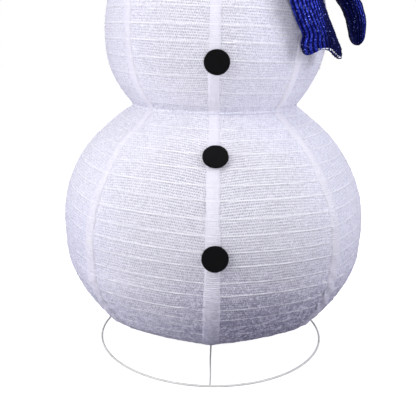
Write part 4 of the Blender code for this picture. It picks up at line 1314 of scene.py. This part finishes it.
def tail(name, stations, count, bulge, thick, ribs, depth, roll, hem, tail_shade, pointed=0.0, seed=1):
    """A crowned, ribbed tail. Its rows stay level; hem(x) lifts the last ones."""
    p = smooth_path(stations, count)
    left = np.stack([p[:, 1], p[:, 2], p[:, 0]], -1)
    right = np.stack([p[:, 3], p[:, 4], p[:, 0]], -1)
    centre = (left + right) / 2
    width = np.linalg.norm(right - left, axis=1)
    across = (right - left) / width[:, None]
    out = np.stack([across[:, 1], -across[:, 0], 0 * width], -1)
    along = np.concatenate([[0], np.cumsum(np.linalg.norm(np.diff(centre, axis=0), axis=1))])
    m = 112 if FINE else 64
    face = m // 2
    # an even walk over the outer face and back under
    x = np.concatenate([np.linspace(-1, 1, face), np.linspace(1, -1, m - face)])
    side = np.concatenate([np.ones(face), -np.ones(m - face)])
    body = np.clip(1 - np.abs(x) ** 6, 0, 1) ** 0.5
    h = np.cos(np.pi * ribs * (x[None, :] + 0.06 * np.sin(along[:, None] * 26 + seed)) + 0 * along[:, None])
    knit = 0.5 - 0.5 * np.cos(2 * np.pi * along[:, None] / 0.0046 + 1.3 * h)
    edge_bump = 1 + (0.012 * knit + 0.012 * waves(seed, 6, 150, 700)(along[:, None], 0 * along[:, None])) * (np.abs(x) > 0.9)
    shrink = np.ones(count)
    if pointed:
        end = np.clip((along[-1] - along) / pointed, 0, 1)
        shrink = np.sqrt(np.clip(1 - (1 - end) ** 2, 0.0004, 1))
    half = (width / 2 * shrink)[:, None] * edge_bump
    w = half * x[None, :]
    t = (along / along[-1])[:, None]
    surface = bulge * (1 - x[None, :] ** 2)
    rib = depth * (h - 0.2) + 0.0005 * knit
    d = surface + roll(x[None, :], t, along[:, None]) + side * body * (thick / 2 * np.maximum(shrink, 0.2)[:, None] + 0.5 * rib)
    rise = hem(x)[None, :] * np.clip((t - 0.80) / 0.20, 0, 1) ** 1.5
    pts = centre[:, None] + w[..., None] * across[:, None] + d[..., None] * out[:, None]
    pts[..., 2] += rise
    weave = np.stack([w, along[:, None] + 0 * w, h], -1)
    faces = [tuple(f) for f in grid_faces(count, m, wrap=True, flip=True)]
    for row, flip in ((0, False), (count - 1, True)):
        base = row * m
        for i in range(face - 1):
            quad = (base + i, base + i + 1, base + m - 2 - i, base + m - 1 - i)
            faces.append(quad if flip else quad[::-1])
    obj = polymesh(name, pts.reshape(-1, 3), faces, BLUE, weave.reshape(-1, 3))
    # how much painted shade each point of the tail takes
    layer = obj.data.attributes.new("tail_shade", "FLOAT", "POINT")
    layer.data.foreach_set("value", np.clip(tail_shade(x[None, :] + 0 * t, t, along[:, None]), 0, 1).astype(np.float32).ravel())
    return obj, pts, across, out


def smooth_step(x, low, high):
    t = np.clip((x - low) / (high - low), 0, 1)
    return t * t * (3 - 2 * t)


def scarf_tails():
    count = 170 if FINE else 80
    hem_x = np.array([-1.0, -0.86, -0.62, -0.45, -0.17, 0.13, 0.25, 0.47, 0.74, 0.90, 1.0])
    hem_z = np.array([0.0060, 0.0020, 0.0070, 0.0118, 0.0130, 0.0098, 0.0056, 0.0002, -0.0040, -0.0030, 0.0020])

    def hem(x):
        fine = np.linspace(-1, 1, 201)
        z = np.interp(fine, hem_x, hem_z)
        for _ in range(4):
            z = np.convolve(np.pad(z, 3, mode="edge"), np.ones(7) / 7, mode="valid")
        return np.interp(x, fine, z)

    def roll(x, t, along):
        # the cloth ripples towards its hem
        return 0.0014 * np.sin(x * 4.0 + t * 2.0) * t**2 * (1 - x**2)

    def front_tail_shade(x, t, along):
        # painted shade over the outer third of the front tail, where it turns away from the light
        low = smooth_step(t, 0.62, 0.92)
        return smooth_step(x + 0.08 * np.sin(along * 40) + 0.34 * low, 0.05, 0.52) + 0.55 * smooth_step(-x, 0.80, 1.0)

    obj, pts, across, out = tail("tail_front", FRONT_TAIL, count, 0.0105, 0.0055, 11.5, 0.0022, roll, hem, front_tail_shade)
    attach(obj, "scarf")
    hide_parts("scarf_tail_front")
    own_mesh(obj)

    # silver stitches along the hem
    m = pts.shape[1]
    face = m // 2
    made = []
    rng = np.random.default_rng(4)
    for i in range(19):
        x = -0.50 + 1.40 * (i + 0.5) / 19
        j = int(round((x + 1) / 2 * (face - 1)))
        spot = pts[-5, j] if x < 0.35 else pts[-4, j]
        lean = rng.normal(0, 0.5)
        direction = across[-1] * math.cos(lean) + np.array([0, 0, 1.0]) * math.sin(lean) * 0.7 + out[-1] * 0.3
        direction /= np.linalg.norm(direction)
        a = spot + out[-1] * 0.0008 + rng.normal(0, 0.0004, 3)
        length = rng.uniform(0.0016, 0.0034)
        made.append(tube_mesh("stitch", [a - direction * length / 2, a + out[-1] * 0.0008, a + direction * length / 2], [0.0007, 0.0012, 0.0007], SILVER, sides=6))
    stitches = join("hem_stitches", made)
    stitches.data.shade_smooth()
    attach(stitches, "scarf")
    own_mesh(stitches)

    def tuck(x, t, along):
        return -0.0060 * np.abs(x) ** 2.2 + 0.0012 * np.sin(along * 45 + x * 1.5)

    # painted shade over the back tail, leaving a painted lit stripe on its right third
    def back_tail_shade(x, t, along):
        return 1.0 - 1.0 * np.exp(-(((x - 0.46 - 0.08 * np.sin(along * 30)) / 0.27) ** 2))

    obj, _, _, _ = tail("tail_back", BACK_TAIL, count, 0.0080, 0.0180, 7.5, 0.0022, tuck, lambda x: 0 * x, back_tail_shade, pointed=0.017, seed=2)
    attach(obj, "scarf")
    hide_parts("scarf_tail_back")
    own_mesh(obj)


def scarf_knot():
    """A loop of the ribbed cloth over the band, with the tails coming out under it."""
    a = math.radians(KNOT_ANGLE)
    out = np.array([math.sin(a), -math.cos(a), 0.0])
    side = np.array([math.cos(a), math.sin(a), 0.0])
    count = 90 if FINE else 44
    t = np.linspace(0, 1, count)
    phi = np.radians(118 - 236 * t)
    reach, rise = 0.0300, 0.0440
    middle = out * 0.168 + np.array([0, 0, SCARF_Z - 0.002])
    centre = middle + (np.cos(phi) * reach)[:, None] * out + (np.sin(phi) * rise)[:, None] * np.array([0, 0, 1.0])
    down = np.gradient(centre, axis=0)
    down /= np.linalg.norm(down, axis=1)[:, None]
    across = np.repeat(side[None], count, 0)
    out_dir = np.cross(across, down)
    half = 0.0215 + 0.0040 * np.cos(2 * np.pi * t) + 0.0015 * np.sin(t * 9)

    def puff(w, along, x):
        return -0.004 * np.abs(x) ** 2.5 + 0.0012 * np.sin(x * 5 + along * 60)

    obj, _, _ = ribbed_strip("knot", centre, out_dir * np.sign((out_dir @ out).mean()), across, half, np.full(count, 0.014), 5.5, BLUE, curl=puff)
    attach(obj, "scarf")
    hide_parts("scarf_knot")
    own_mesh(obj)


scarf_band()
scarf_tails()
scarf_knot()


# ------------------------------------------------------------- camera and light
def camera():
    data = bpy.data.cameras.new("camera")
    data.sensor_width = 36.0
    data.lens = 630.0 / 416.0 * 36.0
    data.shift_y = -0.10
    data.clip_end = 60.0
    cam = bpy.data.objects.new("camera", data)
    bpy.context.scene.collection.objects.link(cam)
    cam.location = (0.0, -1.26, 0.60344)
    look = Matrix.Rotation(math.radians(CAM_YAW), 4, "Z") @ Matrix.Rotation(math.radians(90.0 - 11.0544), 4, "X") @ Matrix.Rotation(math.radians(CAM_ROLL), 4, "Z")
    cam.rotation_mode = "QUATERNION"
    cam.rotation_quaternion = look.to_quaternion()
    bpy.context.scene.camera = cam
    return cam


CAM_YAW, CAM_ROLL = 0.478, 0.825
camera()


def area(name, spot, target, size, power, tone):
    data = bpy.data.lights.new(name, "AREA")
    data.shape = "RECTANGLE"
    data.size, data.size_y = size
    data.energy = power
    data.color = tone
    obj = bpy.data.objects.new(name, data)
    bpy.context.scene.collection.objects.link(obj)
    obj.location = spot
    obj.rotation_mode = "QUATERNION"
    obj.rotation_quaternion = (Vector(target) - Vector(spot)).to_track_quat("-Z", "Y")
    return obj


area("key", (-2.1, -2.0, 2.5), (0, 0, 0.55), (1.5, 1.5), 47.5, (1.0, 0.99, 0.98))
area("fill_left", (-2.3, -1.2, 0.75), (0, 0, 0.30), (1.0, 0.8), 22.5, (0.86, 0.87, 1.0))
area("fill_right", (2.5, -1.0, 1.6), (0, 0, 0.5), (1.6, 1.6), 49.0, (0.90, 0.91, 1.0))
area("top", (0.0, -0.3, 3.2), (0, 0, 0.6), (2.2, 2.2), 17.0, (1.0, 1.0, 1.0))
area("back", (0.3, 2.6, 1.8), (0, 0, 0.6), (2.0, 1.6), 30.0, (0.94, 0.95, 1.0))


def spot(name, place, target, angle, power, tone):
    data = bpy.data.lights.new(name, "SPOT")
    data.spot_size = math.radians(angle)
    data.spot_blend = 0.9
    data.shadow_soft_size = 0.35
    data.energy = power
    data.color = tone
    obj = bpy.data.objects.new(name, data)
    bpy.context.scene.collection.objects.link(obj)
    obj.location = place
    obj.rotation_mode = "QUATERNION"
    obj.rotation_quaternion = (Vector(target) - Vector(place)).to_track_quat("-Z", "Y")


# lifts the shade in the waist's groove
spot("waist_fill", (0.14, -1.9, 0.10), (0.020, 0, 0.550), 15.0, 160.0, (0.96, 0.96, 1.0))
# and the underside of the body on its lighter side
spot("low_fill", (-1.6, -1.4, 0.05), (-0.13, -0.10, 0.035), 16.0, 60.0, (0.92, 0.94, 1.0))


def stage():
    """A pale floor and a plain pale world. The floor shows white but throws little light back up."""
    bm = bmesh.new()
    bmesh.ops.create_circle(bm, cap_ends=True, segments=64, radius=14.0)
    mesh = bpy.data.meshes.new("floor")
    bm.to_mesh(mesh)
    bm.free()
    floor = bpy.data.objects.new("floor", mesh)
    home.objects.link(floor)
    floor.location = (0, 0, -0.0002)
    mat = bpy.data.materials.new("pale_floor")
    mat.use_nodes = True
    nt = mat.node_tree
    shader = nt.nodes["Principled BSDF"]
    shader.inputs["Base Color"].default_value = (0.45, 0.45, 0.45, 1)
    shader.inputs["Roughness"].default_value = 0.9
    shader.inputs["Specular IOR Level"].default_value = 0.0
    glow = nt.nodes.new("ShaderNodeEmission")
    glow.inputs["Strength"].default_value = 0.93
    add = nt.nodes.new("ShaderNodeAddShader")
    dim = nt.nodes.new("ShaderNodeBsdfDiffuse")
    dim.inputs["Color"].default_value = (0.33, 0.32, 0.36, 1)
    light = nt.nodes.new("ShaderNodeLightPath")
    mix = nt.nodes.new("ShaderNodeMixShader")
    nt.links.new(shader.outputs[0], add.inputs[0])
    nt.links.new(glow.outputs[0], add.inputs[1])
    nt.links.new(light.outputs["Is Camera Ray"], mix.inputs[0])
    nt.links.new(dim.outputs[0], mix.inputs[1])
    nt.links.new(add.outputs[0], mix.inputs[2])
    nt.links.new(mix.outputs[0], nt.nodes["Material Output"].inputs["Surface"])
    mesh.materials.append(mat)

    world = bpy.data.worlds.new("studio")
    world.use_nodes = True
    nt = world.node_tree
    back = nt.nodes["Background"]
    back.inputs["Color"].default_value = (1.0, 1.0, 1.0, 1)
    back.inputs["Strength"].default_value = 1.0
    soft = nt.nodes.new("ShaderNodeBackground")
    soft.inputs["Color"].default_value = (0.915, 0.915, 1.0, 1)
    soft.inputs["Strength"].default_value = 0.46
    light = nt.nodes.new("ShaderNodeLightPath")
    mix = nt.nodes.new("ShaderNodeMixShader")
    nt.links.new(light.outputs["Is Camera Ray"], mix.inputs[0])
    nt.links.new(soft.outputs[0], mix.inputs[1])
    nt.links.new(back.outputs[0], mix.inputs[2])
    nt.links.new(mix.outputs[0], nt.nodes["World Output"].inputs["Surface"])
    bpy.context.scene.world = world
    bpy.context.scene.view_settings.view_transform = "Standard"


stage()
